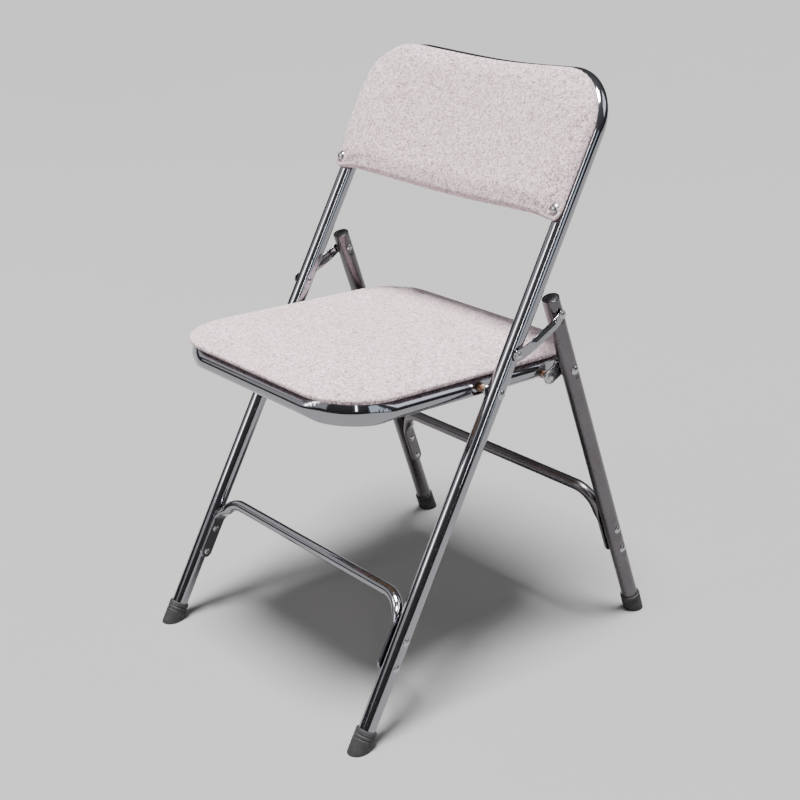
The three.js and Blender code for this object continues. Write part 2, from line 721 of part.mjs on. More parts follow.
function makeSeatTop() {
  const boardBottom = TUBE_R + GAP;
  const boardTop = boardBottom + BOARD_THICKNESS;
  let board = toSolid(flatSlab(seatOutline(-6), boardBottom, boardTop));
  for (const screw of Object.values(SEAT_SCREWS)) {
    const hole = uprightRod(screw.x, screwY(screw), 0, 40, SCREW_SHANK_R + GAP);
    board = board.subtract(hole);
  }
  addMesh(seat, 'seat_board', toGeometry(board), hardboard);

  const padBottom = boardBottom;
  const padBody = new THREE.ExtrudeGeometry(seatOutline(SEAT_PAD_MARGIN - SEAT_PAD_ROUNDING), {
    depth: SEAT_PAD_TOP - padBottom - 2 * SEAT_PAD_ROUNDING,
    bevelThickness: SEAT_PAD_ROUNDING,
    bevelSize: SEAT_PAD_ROUNDING,
    bevelSegments: 3,
    curveSegments: 6,
  });
  padBody.translate(0, 0, padBottom + SEAT_PAD_ROUNDING);
  const recess = toSolid(flatSlab(seatOutline(-6 + GAP), -20, boardTop + GAP));
  addMesh(seat, 'seat_pad', toGeometry(toSolid(padBody).subtract(recess)), greyFabric);

  const seatOfHead = TAB_TOP - TAB.thickness - GAP;
  const screwProfile = [
    [0, seatOfHead - 3],
    [3.4, seatOfHead - 2.6],
    [4.4, seatOfHead - 1],
    [4.4, seatOfHead],
    [SCREW_SHANK_R, seatOfHead],
    [SCREW_SHANK_R, boardTop - 2.5],
    [0, boardTop - 0.5],
  ].map(([radius, height]) => new THREE.Vector2(radius, height));
  for (const [place, screw] of Object.entries(SEAT_SCREWS)) {
    const geometry = new THREE.LatheGeometry(screwProfile, 8);
    geometry.rotateX(Math.PI / 2);
    geometry.translate(screw.x, screwY(screw), 0);
    addMesh(seat, `seat_screw_${place}`, toGeometry(toSolid(geometry)), zincSteel);
  }
}

// ---------------------------------------------------------------- the whole chair

makeFrontFrame();
makeCrossbar(front, 'front_crossbar', frontLegX, FRONT_BAR_HEIGHT, FRONT_BAR_RIVETS, chrome);
makeCrossbar(rear, 'rear_crossbar', rearLegX, REAR_BAR_HEIGHT, REAR_BAR_RIVETS, dullChrome);
for (const [sideName, side] of Object.entries(SIDES)) {
  makeRearLeg(sideName, side);
  makeFoot(front, `front_foot_${sideName}`, -FRONT_LEAN, side * frontLegX(FOOT_MIDDLE));
  makeFoot(rear, `rear_foot_${sideName}`, REAR_LEAN, side * rearLegX(FOOT_MIDDLE));
  makeSeatPivot(sideName, side);
  makeRearBracket(sideName, side);
  makeLink(sideName, side);
}
makeSeatRing();
makeSeatTop();
makeBackrest();

export default chair;
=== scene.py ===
import json
import math

import bmesh
import bpy
import numpy as np
from mathutils import Matrix, Vector


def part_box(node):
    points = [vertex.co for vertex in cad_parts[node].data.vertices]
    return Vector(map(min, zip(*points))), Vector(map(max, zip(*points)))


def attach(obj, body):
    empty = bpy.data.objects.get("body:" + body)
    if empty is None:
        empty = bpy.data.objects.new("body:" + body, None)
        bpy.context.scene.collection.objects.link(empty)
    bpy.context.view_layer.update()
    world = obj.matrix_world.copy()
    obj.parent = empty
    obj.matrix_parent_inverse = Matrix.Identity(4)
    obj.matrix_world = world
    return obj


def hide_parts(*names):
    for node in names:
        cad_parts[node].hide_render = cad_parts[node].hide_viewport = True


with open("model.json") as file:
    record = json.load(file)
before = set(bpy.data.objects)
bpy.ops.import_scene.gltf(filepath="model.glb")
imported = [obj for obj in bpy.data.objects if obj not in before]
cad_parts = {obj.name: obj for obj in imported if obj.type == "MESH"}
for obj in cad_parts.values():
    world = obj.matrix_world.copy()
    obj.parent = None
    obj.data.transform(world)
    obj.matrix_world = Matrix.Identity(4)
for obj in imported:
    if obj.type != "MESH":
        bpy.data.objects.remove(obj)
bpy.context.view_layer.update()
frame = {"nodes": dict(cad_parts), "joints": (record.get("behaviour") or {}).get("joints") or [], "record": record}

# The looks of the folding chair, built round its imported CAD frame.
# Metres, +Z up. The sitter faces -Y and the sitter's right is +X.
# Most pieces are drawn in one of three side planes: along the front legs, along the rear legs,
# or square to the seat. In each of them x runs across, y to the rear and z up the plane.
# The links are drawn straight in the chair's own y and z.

SIDES = {"right": 1, "left": -1}
ACROSS = np.array((1.0, 0.0, 0.0))

# ---- sizes shared with the CAD model

GAP = 0.0003                # air left between touching pieces
TUBE_R = 0.0111             # legs and seat ring
TUBE_WALL = 0.0012
BAR_R = 0.0079              # crossbars
BAR_BEND_R = 0.032
BACK_CORNER_R = 0.068       # where the front tube turns into the top bar
BACK_BOW = 0.020            # how far the top bar bows to the rear
PAD_CORNER_R = 0.078        # upper corners of the backrest
PAD_FOOT_R = 0.010          # its lower corners
PANEL_INSET = 0.008
SEAT_FRONT_CORNER_R = 0.070
SEAT_REAR_CORNER_R = 0.056
BOARD_INSET = 0.006         # the seat board lies this far inside the ring's centre line
FOOT_SOLE = 0.012           # rubber under the end of each leg
FOOT_TOP = 0.028
CRIMP_FLOOR = 0.0025        # the ring is pressed in to here, from its centre line
RIVET_SEAT = 0.0085         # thickness of the backrest's pad under its rivets

# ---- sizes of the looks alone

DIMPLE = 0.0011             # how deep a rivet's head pulls into a tube
DIMPLE_ZONE = 0.02          # the mesh is finer this far to both sides of a dimple
PIVOT_TAIL_GAP = 0.0006     # between the ring's inner side and the tails of its pivots
LINK_TAIL_SINK = 0.0008     # how far the links' rivet tails sink into the legs
PAD_CLEARANCE = 0.0012      # between the front tube and the backrest's pad
LINK_FRONT_R = 0.0080       # rounding of a link's front end
LINK_REAR_R = 0.0068        # and of its rear end
PUFF_EDGE = 0.030           # how far in the seat pad's start profile reaches


# ---- reading the frame


class Plane:
    """A side plane of the chair with its own y, to the rear, and z, up."""

    def __init__(self, origin, up):
        self.origin = np.array((0.0, origin[1], origin[2]))
        self.up = np.array((0.0, up[1], up[2])) / math.hypot(up[1], up[2])
        self.rear = np.array((0.0, self.up[2], -self.up[1]))

    def out(self, points):
        """Points of this plane as points of the chair."""
        p = np.asarray(points, float)
        return self.origin + p[..., :1] * ACROSS + p[..., 1:2] * self.rear + p[..., 2:3] * self.up

    def into(self, points):
        """Points of the chair as points of this plane."""
        offset = np.asarray(points, float) - self.origin
        return np.stack([offset[..., 0], offset @ self.rear, offset @ self.up], -1)

    def matrix(self):
        m = Matrix.Identity(4)
        for column, axis in enumerate((ACROSS, self.rear, self.up, self.origin)):
            m.col[column][:3] = axis
        return m


def vertices(node):
    return np.array([v.co for v in frame["nodes"][node].data.vertices], float)


def extent(plane, node):
    """Lowest and highest x, y, z of a CAD node in a plane."""
    points = plane.into(vertices(node))
    return points.min(0), points.max(0)


def middle(plane, node):
    low, high = extent(plane, node)
    return (low + high) / 2


def seat_plane():
    """The plane of the seat: the board is flat, and its outline starts inside the ring's front."""
    board = vertices("seat_board")
    normal = np.linalg.svd(board - board.mean(0), full_matrices=False)[2][2]
    normal *= np.sign(normal[2])
    plane = Plane((0, 0, 0), normal)
    low, _ = extent(plane, "seat_board")
    origin = plane.out((0, low[1] - BOARD_INSET, low[2] - TUBE_R - GAP))
    return Plane(origin, normal)


joints = {j["name"]: np.array(j["pos_m"]) for j in frame["joints"]}
mounts = {m["name"]: np.array(m["pos_m"]) for m in frame["record"]["mounts"]}

front_foot = mounts["floor_front_right"]
rear_foot = mounts["floor_rear_right"]
front = Plane(front_foot, joints["link_right_fold"] - front_foot)
rear = Plane(rear_foot, np.mean(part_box("bracket_rivet_right"), axis=0) - rear_foot)
seat = seat_plane()


def leg_line(plane, low_node, high_node):
    """A function that gives the x of a leg's axis at a height along it."""
    low = middle(plane, low_node)
    high = middle(plane, high_node)
    slope = (high[0] - low[0]) / (high[2] - low[2])
    return lambda height: low[0] + slope * (height - low[2])


front_leg_x = leg_line(front, "front_foot_right", "back_rivet_right")
rear_leg_x = leg_line(rear, "rear_foot_right", "rear_leg_plug_right")

BACK_TOP = extent(front, "front_frame_tube")[1][2] - TUBE_R
RING_HALF = extent(seat, "seat_ring")[1][0] - TUBE_R
RING_DEPTH = extent(seat, "seat_ring")[1][1] - TUBE_R
BOARD_BOTTOM = extent(seat, "seat_board")[0][2]
BOARD_TOP = extent(seat, "seat_board")[1][2]
SEAT_PIVOT = seat.into(joints["seat_fold"])
REAR_PIVOT = seat.into(joints["rear_leg_fold"])


def bow(x):
    """How far the backrest lies behind the front legs' plane."""
    half = front_leg_x(BACK_TOP - BACK_CORNER_R)
    share = np.minimum(np.abs(x) / half, 1)
    return BACK_BOW * np.cos(math.pi / 2 * share) ** 2


# ---- mesh helpers


def smoothstep(low, high, value):
    t = np.clip((value - low) / (high - low), 0, 1)
    return t * t * (3 - 2 * t)


def make_object(name, points, faces, material, sharp=38):
    mesh = bpy.data.meshes.new(name)
    mesh.from_pydata([tuple(p) for p in points], [], faces)
    bm = bmesh.new()
    bm.from_mesh(mesh)
    bmesh.ops.remove_doubles(bm, verts=bm.verts, dist=1e-6)
    bmesh.ops.recalc_face_normals(bm, faces=bm.faces)
    bm.to_mesh(mesh)
    bm.free()
    mesh.shade_smooth()
    mesh.set_sharp_from_angle(angle=math.radians(sharp))
    mesh.materials.append(material)
    obj = bpy.data.objects.new(name, mesh)
    bpy.context.scene.collection.objects.link(obj)
    return obj


def skin(rings, closed=False, caps=True):
    """Points and faces over a stack of rings that all have the same number of points."""
    rings = np.asarray(rings, float)
    count, sides = rings.shape[:2]
    index = np.arange(count * sides).reshape(count, sides)
    faces = []
    for i in range(count if closed else count - 1):
        near, far = index[i], index[(i + 1) % count]
        for j in range(sides):
            k = (j + 1) % sides
            faces.append((int(near[j]), int(far[j]), int(far[k]), int(near[k])))
    if caps and not closed:
        faces.append(tuple(int(v) for v in index[0]))
        faces.append(tuple(int(v) for v in index[-1][::-1]))
    return rings.reshape(-1, 3), faces


def join_shells(*shells):
    """Several (points, faces) as one."""
    points, faces = [], []
    for shell_points, shell_faces in shells:
        start = len(points)
        points.extend(shell_points)
        faces.extend(tuple(start + v for v in face) for face in shell_faces)
    return points, faces


def arc(centre, radius, start, end, steps):
    angles = np.radians(np.linspace(start, end, steps + 1))
    return [(centre[0] + radius * math.cos(a), centre[1] + radius * math.sin(a)) for a in angles]


def lathe(profile, sides=48):
    """Rings round the z axis from (radius, height) pairs. The ends should lie on the axis."""
    angles = np.linspace(0, 2 * math.pi, sides, endpoint=False)
    return np.array([
        [(r * math.cos(a), r * math.sin(a), h) for a in angles] for r, h in profile
    ])


def turned(name, profile, material, to_chair, sides=48, sharp=38):
    """A lathe turned piece, put in place by a function from its own x, y, z to the chair's."""
    points, faces = skin(lathe(profile, sides), caps=False)
    return make_object(name, to_chair(points), faces, material, sharp)


def sideways(plane, side, y, z):
    """Puts a turned piece's axis across the chair, with its +z facing outwards."""
    def place(points):
        p = np.asarray(points)
        return plane.out(np.stack([side * p[:, 2], y + p[:, 0], z + p[:, 1]], -1))
    return place


def upright(plane, x):
    """Puts a turned piece's axis along a plane's z, at an x of its own."""
    def place(points):
        p = np.array(points)
        p[:, 0] += x
        return plane.out(p)
    return place


class Path:
    """A line through close points that can be asked for its place at any length."""

    def __init__(self, points, closed=False):
        self.points = np.array(points, float)
        if closed:
            self.points = np.vstack([self.points, self.points[:1]])
        steps = np.linalg.norm(np.diff(self.points, axis=0), axis=1)
        self.at_point = np.concatenate([[0], np.cumsum(steps)])
        self.length = self.at_point[-1]
        self.closed = closed

    def at(self, s):
        s = s % self.length if self.closed else min(max(s, 0), self.length)
        return np.array([np.interp(s, self.at_point, self.points[:, i]) for i in range(3)])

    def tangent(self, s):
        reach = 0.0008
        ahead, behind = s + reach, s - reach
        if not self.closed:
            ahead, behind = min(ahead, self.length), max(behind, 0)
        step = self.at(ahead) - self.at(behind)
        return step / np.linalg.norm(step)


def stations(length, fine_zones=(), fine=0.0016, coarse=0.0065):
    """Lengths along a path, closer together inside the fine zones."""
    marks = [0.0]
    while marks[-1] < length - fine:
        s = marks[-1]
        in_zone = any(low - coarse <= s <= high for low, high in fine_zones)
        marks.append(min(s + (fine if in_zone else coarse), length))
    return marks


def tube_rings(path, marks, side, radius, sides, shape=None):
    """Sections along a path. A section's first axis points out of the bend, its second along side."""
    angles = np.linspace(0, 2 * math.pi, sides, endpoint=False)
    rings = []
    for s in marks:
        tangent = path.tangent(s)
        second = side - np.dot(side, tangent) * tangent
        second /= np.linalg.norm(second)
        first = np.cross(second, tangent)
        section = radius * np.stack([np.cos(angles), np.sin(angles)], -1)
        if shape:
            section = shape(s, section)
        rings.append(path.at(s) + section[:, :1] * first + section[:, 1:] * second)
    return np.array(rings)


def press(section, direction, floor, share):
    """Pushes one side of a section in to a flat floor. share says how fully, point by point."""
    over = np.maximum(direction * section[:, 0] - floor, 0)
    section[:, 0] -= direction * over * share
    return section


def dimple(s, section, place, direction, depth):
    """The flat that a rivet's head pulls into a tube's wall."""
    half_length, half_height = 0.0115, 0.0075
    reach = np.sqrt(((s - place) / half_length) ** 2 + (section[:, 1] / half_height) ** 2)
    return press(section, direction, TUBE_R - depth, 1 - smoothstep(0.75, 1.25, reach))


def dimpled(*groups):
    """The shape of a tube with dimples, given as groups of (places, direction, depth)."""
    def shape(s, section):
        for places, direction, depth in groups:
            for place in places:
                if abs(s - place) < DIMPLE_ZONE:
                    section = dimple(s, section, place, direction, depth)
        return section
    return shape


def zones(places):
    """The stretches of a tube round its dimples."""
    return [(p - DIMPLE_ZONE, p + DIMPLE_ZONE) for p in places]


# ---- material helpers


class Graph:
    """A material's nodes, added one after another."""

    def __init__(self, name):
        self.material = bpy.data.materials.new(name)
        self.material.use_nodes = True
        self.tree = self.material.node_tree
        self.shader = self.tree.nodes["Principled BSDF"]

    def add(self, kind, inputs=None, **settings):
        node = self.tree.nodes.new(kind)
        for key, value in settings.items():
            setattr(node, key, value)
        for key, value in (inputs or {}).items():
            self.put(node.inputs[key], value)
        return node

    def put(self, socket, value):
        if isinstance(value, bpy.types.NodeSocket):
            self.tree.links.new(value, socket)
        else:
            socket.default_value = value

    def set(self, **values):
        """Values on the shader: base_color becomes its Base Color socket, and so on."""
        for key, value in values.items():
            self.put(self.shader.inputs[key.replace("_", " ").title().replace("Ior", "IOR")], value)

    def math(self, operation, a, b=0.0):
        return self.add("ShaderNodeMath", {0: a, 1: b}, operation=operation).outputs[0]

    def noise(self, vector, scale, detail=2.0, roughness=0.5):
        inputs = {"Vector": vector, "Scale": scale, "Detail": detail, "Roughness": roughness}
        return self.add("ShaderNodeTexNoise", inputs).outputs["Fac"]

    def ramp(self, value, *stops):
        """Stops are (place, colour), where a colour may be one number for grey."""
        node = self.add("ShaderNodeValToRGB", {"Fac": value})
        elements = node.color_ramp.elements
        for _ in stops[2:]:
            elements.new(0.5)
        for element, (place, colour) in zip(elements, stops):
            element.position = place
            grey = not hasattr(colour, "__len__")
            element.color = (colour,) * 3 + (1,) if grey else (*colour, 1)
        return node.outputs["Color"]

    def mix(self, share, a, b, blend="MIX"):
        node = self.add("ShaderNodeMix", data_type="RGBA", blend_type=blend)
        self.put(node.inputs["Factor"], share)
        for socket, value in ((node.inputs[6], a), (node.inputs[7], b)):
            is_colour = not isinstance(value, bpy.types.NodeSocket)
            self.put(socket, (*value, 1) if is_colour else value)
        return node.outputs[2]

    def bump(self, height, distance, strength=1.0, normal=None):
        inputs = {"Height": height, "Distance": distance, "Strength": strength}
        if normal is not None:
            inputs["Normal"] = normal
        return self.add("ShaderNodeBump", inputs).outputs["Normal"]

    def position(self):
        return self.add("ShaderNodeTexCoord").outputs["Object"]


# ---- materials


def chrome_material():
    """Bright chrome plate: hairline wiping marks, faint waviness, and a few dull specks."""
    g = Graph("chrome_tube")
    place = g.position()
    haze = g.noise(place, 9, 3)
    specks = g.ramp(g.noise(place, 900, 1), (0.70, 0.0), (0.78, 1.0))
    colour = g.mix(haze, (0.26, 0.26, 0.285), (0.33, 0.33, 0.355))
    g.set(base_color=g.mix(specks, colour, (0.30, 0.27, 0.25)), metallic=1.0)
    polish = g.ramp(g.noise(place, 45, 4, 0.65), (0.35, 0.055), (0.75, 0.14))
    g.set(roughness=g.mix(specks, polish, (0.4, 0.4, 0.4)))
    waves = g.bump(g.noise(place, 38, 1), 0.0004, 0.22)
    g.set(normal=g.bump(g.noise(place, 1400, 2), 0.00002, 0.25, waves))
    return g.material


def dull_chrome_material():
    """The rear frame's worn plate: cloudy, finely pitted, and warm where rust has started."""
    g = Graph("dull_chrome_tube")
    place = g.position()
    clouds = g.noise(place, 26, 5, 0.6)
    pits = g.ramp(g.noise(place, 620, 2), (0.60, 0.0), (0.72, 1.0))
    colour = g.mix(clouds, (0.10, 0.093, 0.10), (0.17, 0.16, 0.17))
    rust = g.ramp(g.noise(place, 70, 4, 0.7), (0.60, 0.0), (0.80, 0.55))
    colour = g.mix(rust, colour, (0.15, 0.10, 0.08))
    g.set(base_color=g.mix(pits, colour, (0.07, 0.055, 0.05)), metallic=1.0)
    g.set(roughness=g.ramp(clouds, (0.30, 0.20), (0.72, 0.36)))
    lumps = g.bump(g.noise(place, 120, 3), 0.0005, 0.22)
    g.set(normal=g.bump(pits, 0.0002, -0.35, lumps))
    return g.material


def steel_material():
    """Plated rivets and brackets, softly polished, with grime in patches."""
    g = Graph("rivet_steel")
    place = g.position()
    wear = g.noise(place, 160, 4, 0.6)
    g.set(base_color=g.mix(wear, (0.30, 0.29, 0.295), (0.56, 0.56, 0.58)), metallic=1.0)
    g.set(roughness=g.ramp(g.noise(place, 320, 3), (0.3, 0.16), (0.75, 0.36)))
    g.set(normal=g.bump(g.noise(place, 420, 3), 0.0002, 0.25))
    return g.material


def rust_material():
    """Steel that has lost its plating: brown scale over dark metal."""
    g = Graph("rusty_steel")
    place = g.position()
    scale = g.noise(place, 380, 6, 0.7)
    brown = g.ramp(scale, (0.28, (0.045, 0.022, 0.014)), (0.52, (0.19, 0.085, 0.04)),
                   (0.75, (0.36, 0.2, 0.12)))
    bare = g.ramp(g.noise(place, 210, 2), (0.45, 0.0), (0.62, 1.0))
    g.set(base_color=g.mix(bare, brown, (0.40, 0.33, 0.28)), metallic=0.45)
    g.set(roughness=g.ramp(scale, (0.3, 0.75), (0.8, 0.4)))
    g.set(normal=g.bump(scale, 0.0006, 0.6))
    return g.material


def rubber_material():
    """Moulded black rubber, scuffed grey in places."""
    g = Graph("black_rubber")
    place = g.position()
    scuffs = g.ramp(g.noise(place, 55, 5, 0.7), (0.5, 0.0), (0.8, 0.5))
    g.set(base_color=g.mix(scuffs, (0.012, 0.012, 0.013), (0.07, 0.066, 0.062)))
    g.set(roughness=g.ramp(g.noise(place, 260, 3), (0.3, 0.55), (0.7, 0.8)))
    g.set(normal=g.bump(g.noise(place, 900, 3), 0.0002, 0.4))
    return g.material


def plastic_material():
    """Black plastic plugs with a fine moulded grain."""
    g = Graph("black_plastic")
    place = g.position()
    g.set(base_color=g.mix(g.noise(place, 120, 3), (0.014, 0.014, 0.016), (0.04, 0.04, 0.043)))
    g.set(roughness=g.ramp(g.noise(place, 500, 2), (0.3, 0.38), (0.7, 0.58)))
    g.set(normal=g.bump(g.noise(place, 1600, 2), 0.0001, 0.35))
    return g.material


def panel_material():
    """The board behind the backrest: dark fibre board with a leathery pressed grain."""
    g = Graph("back_panel_board")
    place = g.position()
    cells = g.add("ShaderNodeTexVoronoi", {"Vector": place, "Scale": 420}, feature="DISTANCE_TO_EDGE")
    grain = g.ramp(cells.outputs["Distance"], (0.0, 0.0), (0.22, 1.0))
    tone = g.mix(g.noise(place, 22, 4), (0.022, 0.020, 0.021), (0.05, 0.046, 0.047))
    g.set(base_color=g.mix(grain, (0.012, 0.011, 0.011), tone))
    g.set(roughness=g.ramp(g.noise(place, 90, 3), (0.3, 0.42), (0.75, 0.62)))
    g.set(normal=g.bump(grain, 0.0003, 0.5))
    return g.material


def board_material():
    """The seat's plywood underside, with stretched grain."""
    g = Graph("seat_board_wood")
    stretch = g.add("ShaderNodeMapping", {"Vector": g.position(), "Scale": (1.0, 0.07, 1.0)})
    place = stretch.outputs["Vector"]
    grain = g.noise(place, 340, 5, 0.65)
    broad = g.noise(place, 38, 3)
    wood = g.ramp(grain, (0.32, (0.20, 0.115, 0.058)), (0.66, (0.43, 0.28, 0.155)))
    g.set(base_color=g.mix(broad, wood, (0.33, 0.205, 0.11)))
    g.set(roughness=g.ramp(grain, (0.3, 0.62), (0.7, 0.8)))
    g.set(normal=g.bump(grain, 0.0003, 0.35))
    return g.material


def fabric_material():
    """A pinkish grey plain weave of heathered yarn, drawn from the cloth's own flat measure, with painted shade
    between the yarns.
    """
    pitch = 0.00125     # from one yarn to the next
    fleck = 2.6         # length of one colour along a yarn, in pitches
    g = Graph("heather_fabric")
    flat = g.add("ShaderNodeAttribute", attribute_name="cloth").outputs["Vector"]
    drift = g.add("ShaderNodeTexNoise", {"Vector": flat, "Scale": 60.0, "Detail": 1.0})
    wander = g.add("ShaderNodeVectorMath", {0: drift.outputs["Color"], 1: (0.5, 0.5, 0.5)},
                   operation="SUBTRACT")
    wander = g.add("ShaderNodeVectorMath", {0: wander.outputs[0], "Scale": 0.0006}, operation="SCALE")
    uneven = g.add("ShaderNodeVectorMath", {0: flat, 1: wander.outputs[0]}, operation="ADD")
    count = g.add("ShaderNodeVectorMath", {0: uneven.outputs[0], "Scale": 1 / pitch}, operation="SCALE")
    split = g.add("ShaderNodeSeparateXYZ", {0: count.outputs[0]})
    across, along = split.outputs["X"], split.outputs["Y"]

    def thread(own, run):
        """Colour share and height of the yarns that lie side by side along own."""
        number = g.math("FLOOR", own)
        stagger = g.math("MULTIPLY", number, 2.37)
        piece = g.math("FLOOR", g.math("DIVIDE", g.math("ADD", run, stagger), fleck))
        joined = g.add("ShaderNodeCombineXYZ", {"X": number, "Y": piece})
        tint = g.add("ShaderNodeTexWhiteNoise", {"Vector": joined.outputs[0]}, noise_dimensions="2D")
        arch = g.math("SINE", g.math("MULTIPLY", g.math("FRACT", own), math.pi))
        hill = g.math("SINE", g.math("MULTIPLY", g.math("FRACT", run), math.pi))
        height = g.math("MULTIPLY", g.math("POWER", arch, 0.6), g.math("ADD", hill, 0.35))
        return number, tint.outputs["Value"], height

    warp_number, warp_tint, warp_height = thread(across, along)
    weft_number, weft_tint, weft_height = thread(along, across)
    over = g.math("MODULO", g.math("ADD", g.math("ADD", warp_number, weft_number), 20000), 2)
    height = g.add("ShaderNodeMix", {0: over, 2: warp_height, 3: weft_height}).outputs[0]
    tint = g.add("ShaderNodeMix", {0: over, 2: warp_tint, 3: weft_tint}).outputs[0]

    mottle = g.noise(flat, 620, 2, 0.6)
    yarn = g.ramp(tint, (0.0, (0.07, 0.045, 0.045)), (0.24, (0.42, 0.30, 0.315)),
                  (0.6, (0.80, 0.61, 0.64)), (1.0, (1.0, 0.86, 0.90)))
    yarn = g.mix(g.ramp(mottle, (0.48, 0.0), (0.72, 0.4)), yarn, (0.86, 0.67, 0.71))
    broad = g.ramp(g.noise(flat, 14, 3), (0.3, 0.94), (0.7, 1.0))
    yarn = g.mix(1.0, yarn, broad, "MULTIPLY")
    # Painted shade: the colour is darkened where the weave lies low, between and under the yarns.
    painted_weave_shade = g.ramp(height, (0.0, 0.30), (0.7, 1.0))
    g.set(base_color=g.mix(0.85, yarn, painted_weave_shade, "MULTIPLY"), roughness=0.92)
    g.set(specular_ior_level=0.2, sheen_weight=0.25, sheen_roughness=0.5)
    g.set(sheen_tint=(0.95, 0.86, 0.89, 1))
    g.set(normal=g.bump(height, 0.00045, 0.8, g.bump(mottle, 0.0006, 0.3)))
    return g.material


def floor_material():
    """A pale matt floor with the faintest unevenness."""
    g = Graph("studio_floor")
    tone = g.noise(g.position(), 1.3, 3)
    g.set(base_color=g.mix(tone, (0.235, 0.233, 0.231), (0.245, 0.243, 0.241)), roughness=0.75)
    g.set(specular_ior_level=0.25)
    return g.material


chrome = chrome_material()
dull_chrome = dull_chrome_material()
steel = steel_material()
rust = rust_material()
rubber = rubber_material()
plastic = plastic_material()
panel_board = panel_material()
wood = board_material()
fabric = fabric_material()


def finish_piece(piece, body, slot, *nodes):
    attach(piece, body)
    if nodes:
        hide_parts(*nodes)
    return piece


# ---- rivets


def dome(radius, height, lip=0.0004, steps=9):
    """The profile of a rivet's head, from its rim to the top of the axis."""
    ball = (radius ** 2 + height ** 2) / (2 * height)
    widest = math.asin(min(radius / ball, 1))
    profile = [(radius * 0.93, 0.0), (radius, lip)]
    for i in range(steps + 1):
        angle = widest * (1 - i / steps)
        profile.append((ball * math.sin(angle), lip + ball * math.cos(angle) - (ball - height)))
    return profile


def rivet(name, place, head_at, tail_at, head=(0.0052, 0.0024), tail=(0.0044, 0.0013), shank=0.0025):
    """A domed head that rests at head_at, a shank, and a pressed tail that starts at tail_at."""
    head_profile = [(r, head_at + h) for r, h in dome(*head)]
    tail_profile = [(r, tail_at - h) for r, h in dome(*tail, lip=0.0003, steps=5)][::-1]
    profile = [*tail_profile, (shank, tail_at), (shank, head_at), *head_profile]
    return turned(name, profile, steel, place)


def fit_rivet(name, body, plane, side, head_at, tail_at, **sizes):
    """A rivet across the chair, in the place of the CAD's."""
    _, y, z = middle(plane, name)
    piece = rivet(f"{name}_fine", sideways(plane, side, y, z), head_at, tail_at, **sizes)
    finish_piece(piece, body, "rivet_steel", name)


# ---- front frame


def front_path():
    """Up the right leg, over the bowed top bar and down the left leg."""
    shoulder = BACK_TOP - BACK_CORNER_R
    half = front_leg_x(shoulder)
    heights = np.arange(FOOT_SOLE, shoulder, 0.004)
    points = [(front_leg_x(h), 0, h) for h in heights]
    corner = arc((half - BACK_CORNER_R, shoulder), BACK_CORNER_R, 0, 90, 60)
    points += [(x, bow(x), z) for x, z in corner]
    top = np.arange(half - BACK_CORNER_R, 0.002, -0.004)[1:]
    points += [(x, bow(x), BACK_TOP) for x in top]
    mirrored = [(-x, y, z) for x, y, z in points[::-1]]
    return Path(front.out([*points, (0, bow(0), BACK_TOP), *mirrored]))


def build_front_tube():
    path = front_path()
    outer = ["seat_pivot_rivet_right", "link_front_rivet_right",
             "front_crossbar_rivet_right_upper", "front_crossbar_rivet_right_lower"]
    places = [middle(front, node)[2] - FOOT_SOLE for node in outer]
    both_legs = [*places, *(path.length - p for p in places)]
    at_links = (places[1], path.length - places[1])
    back_rivet = middle(front, "back_rivet_right")[2] - FOOT_SOLE
    top_bar = (back_rivet - DIMPLE_ZONE, path.length - back_rivet + DIMPLE_ZONE)
    marks = stations(path.length, [*zones(both_legs), top_bar], fine=0.0018)
    shape = dimpled((both_legs, 1, DIMPLE), (at_links, -1, DIMPLE))
    rings = tube_rings(path, marks, front.rear, TUBE_R, 64, shape)
    tube = make_object("front_frame_tube_fine", *skin(rings), chrome)
    finish_piece(tube, "front_frame", "chrome_tube", "front_frame_tube")


# ---- crossbars


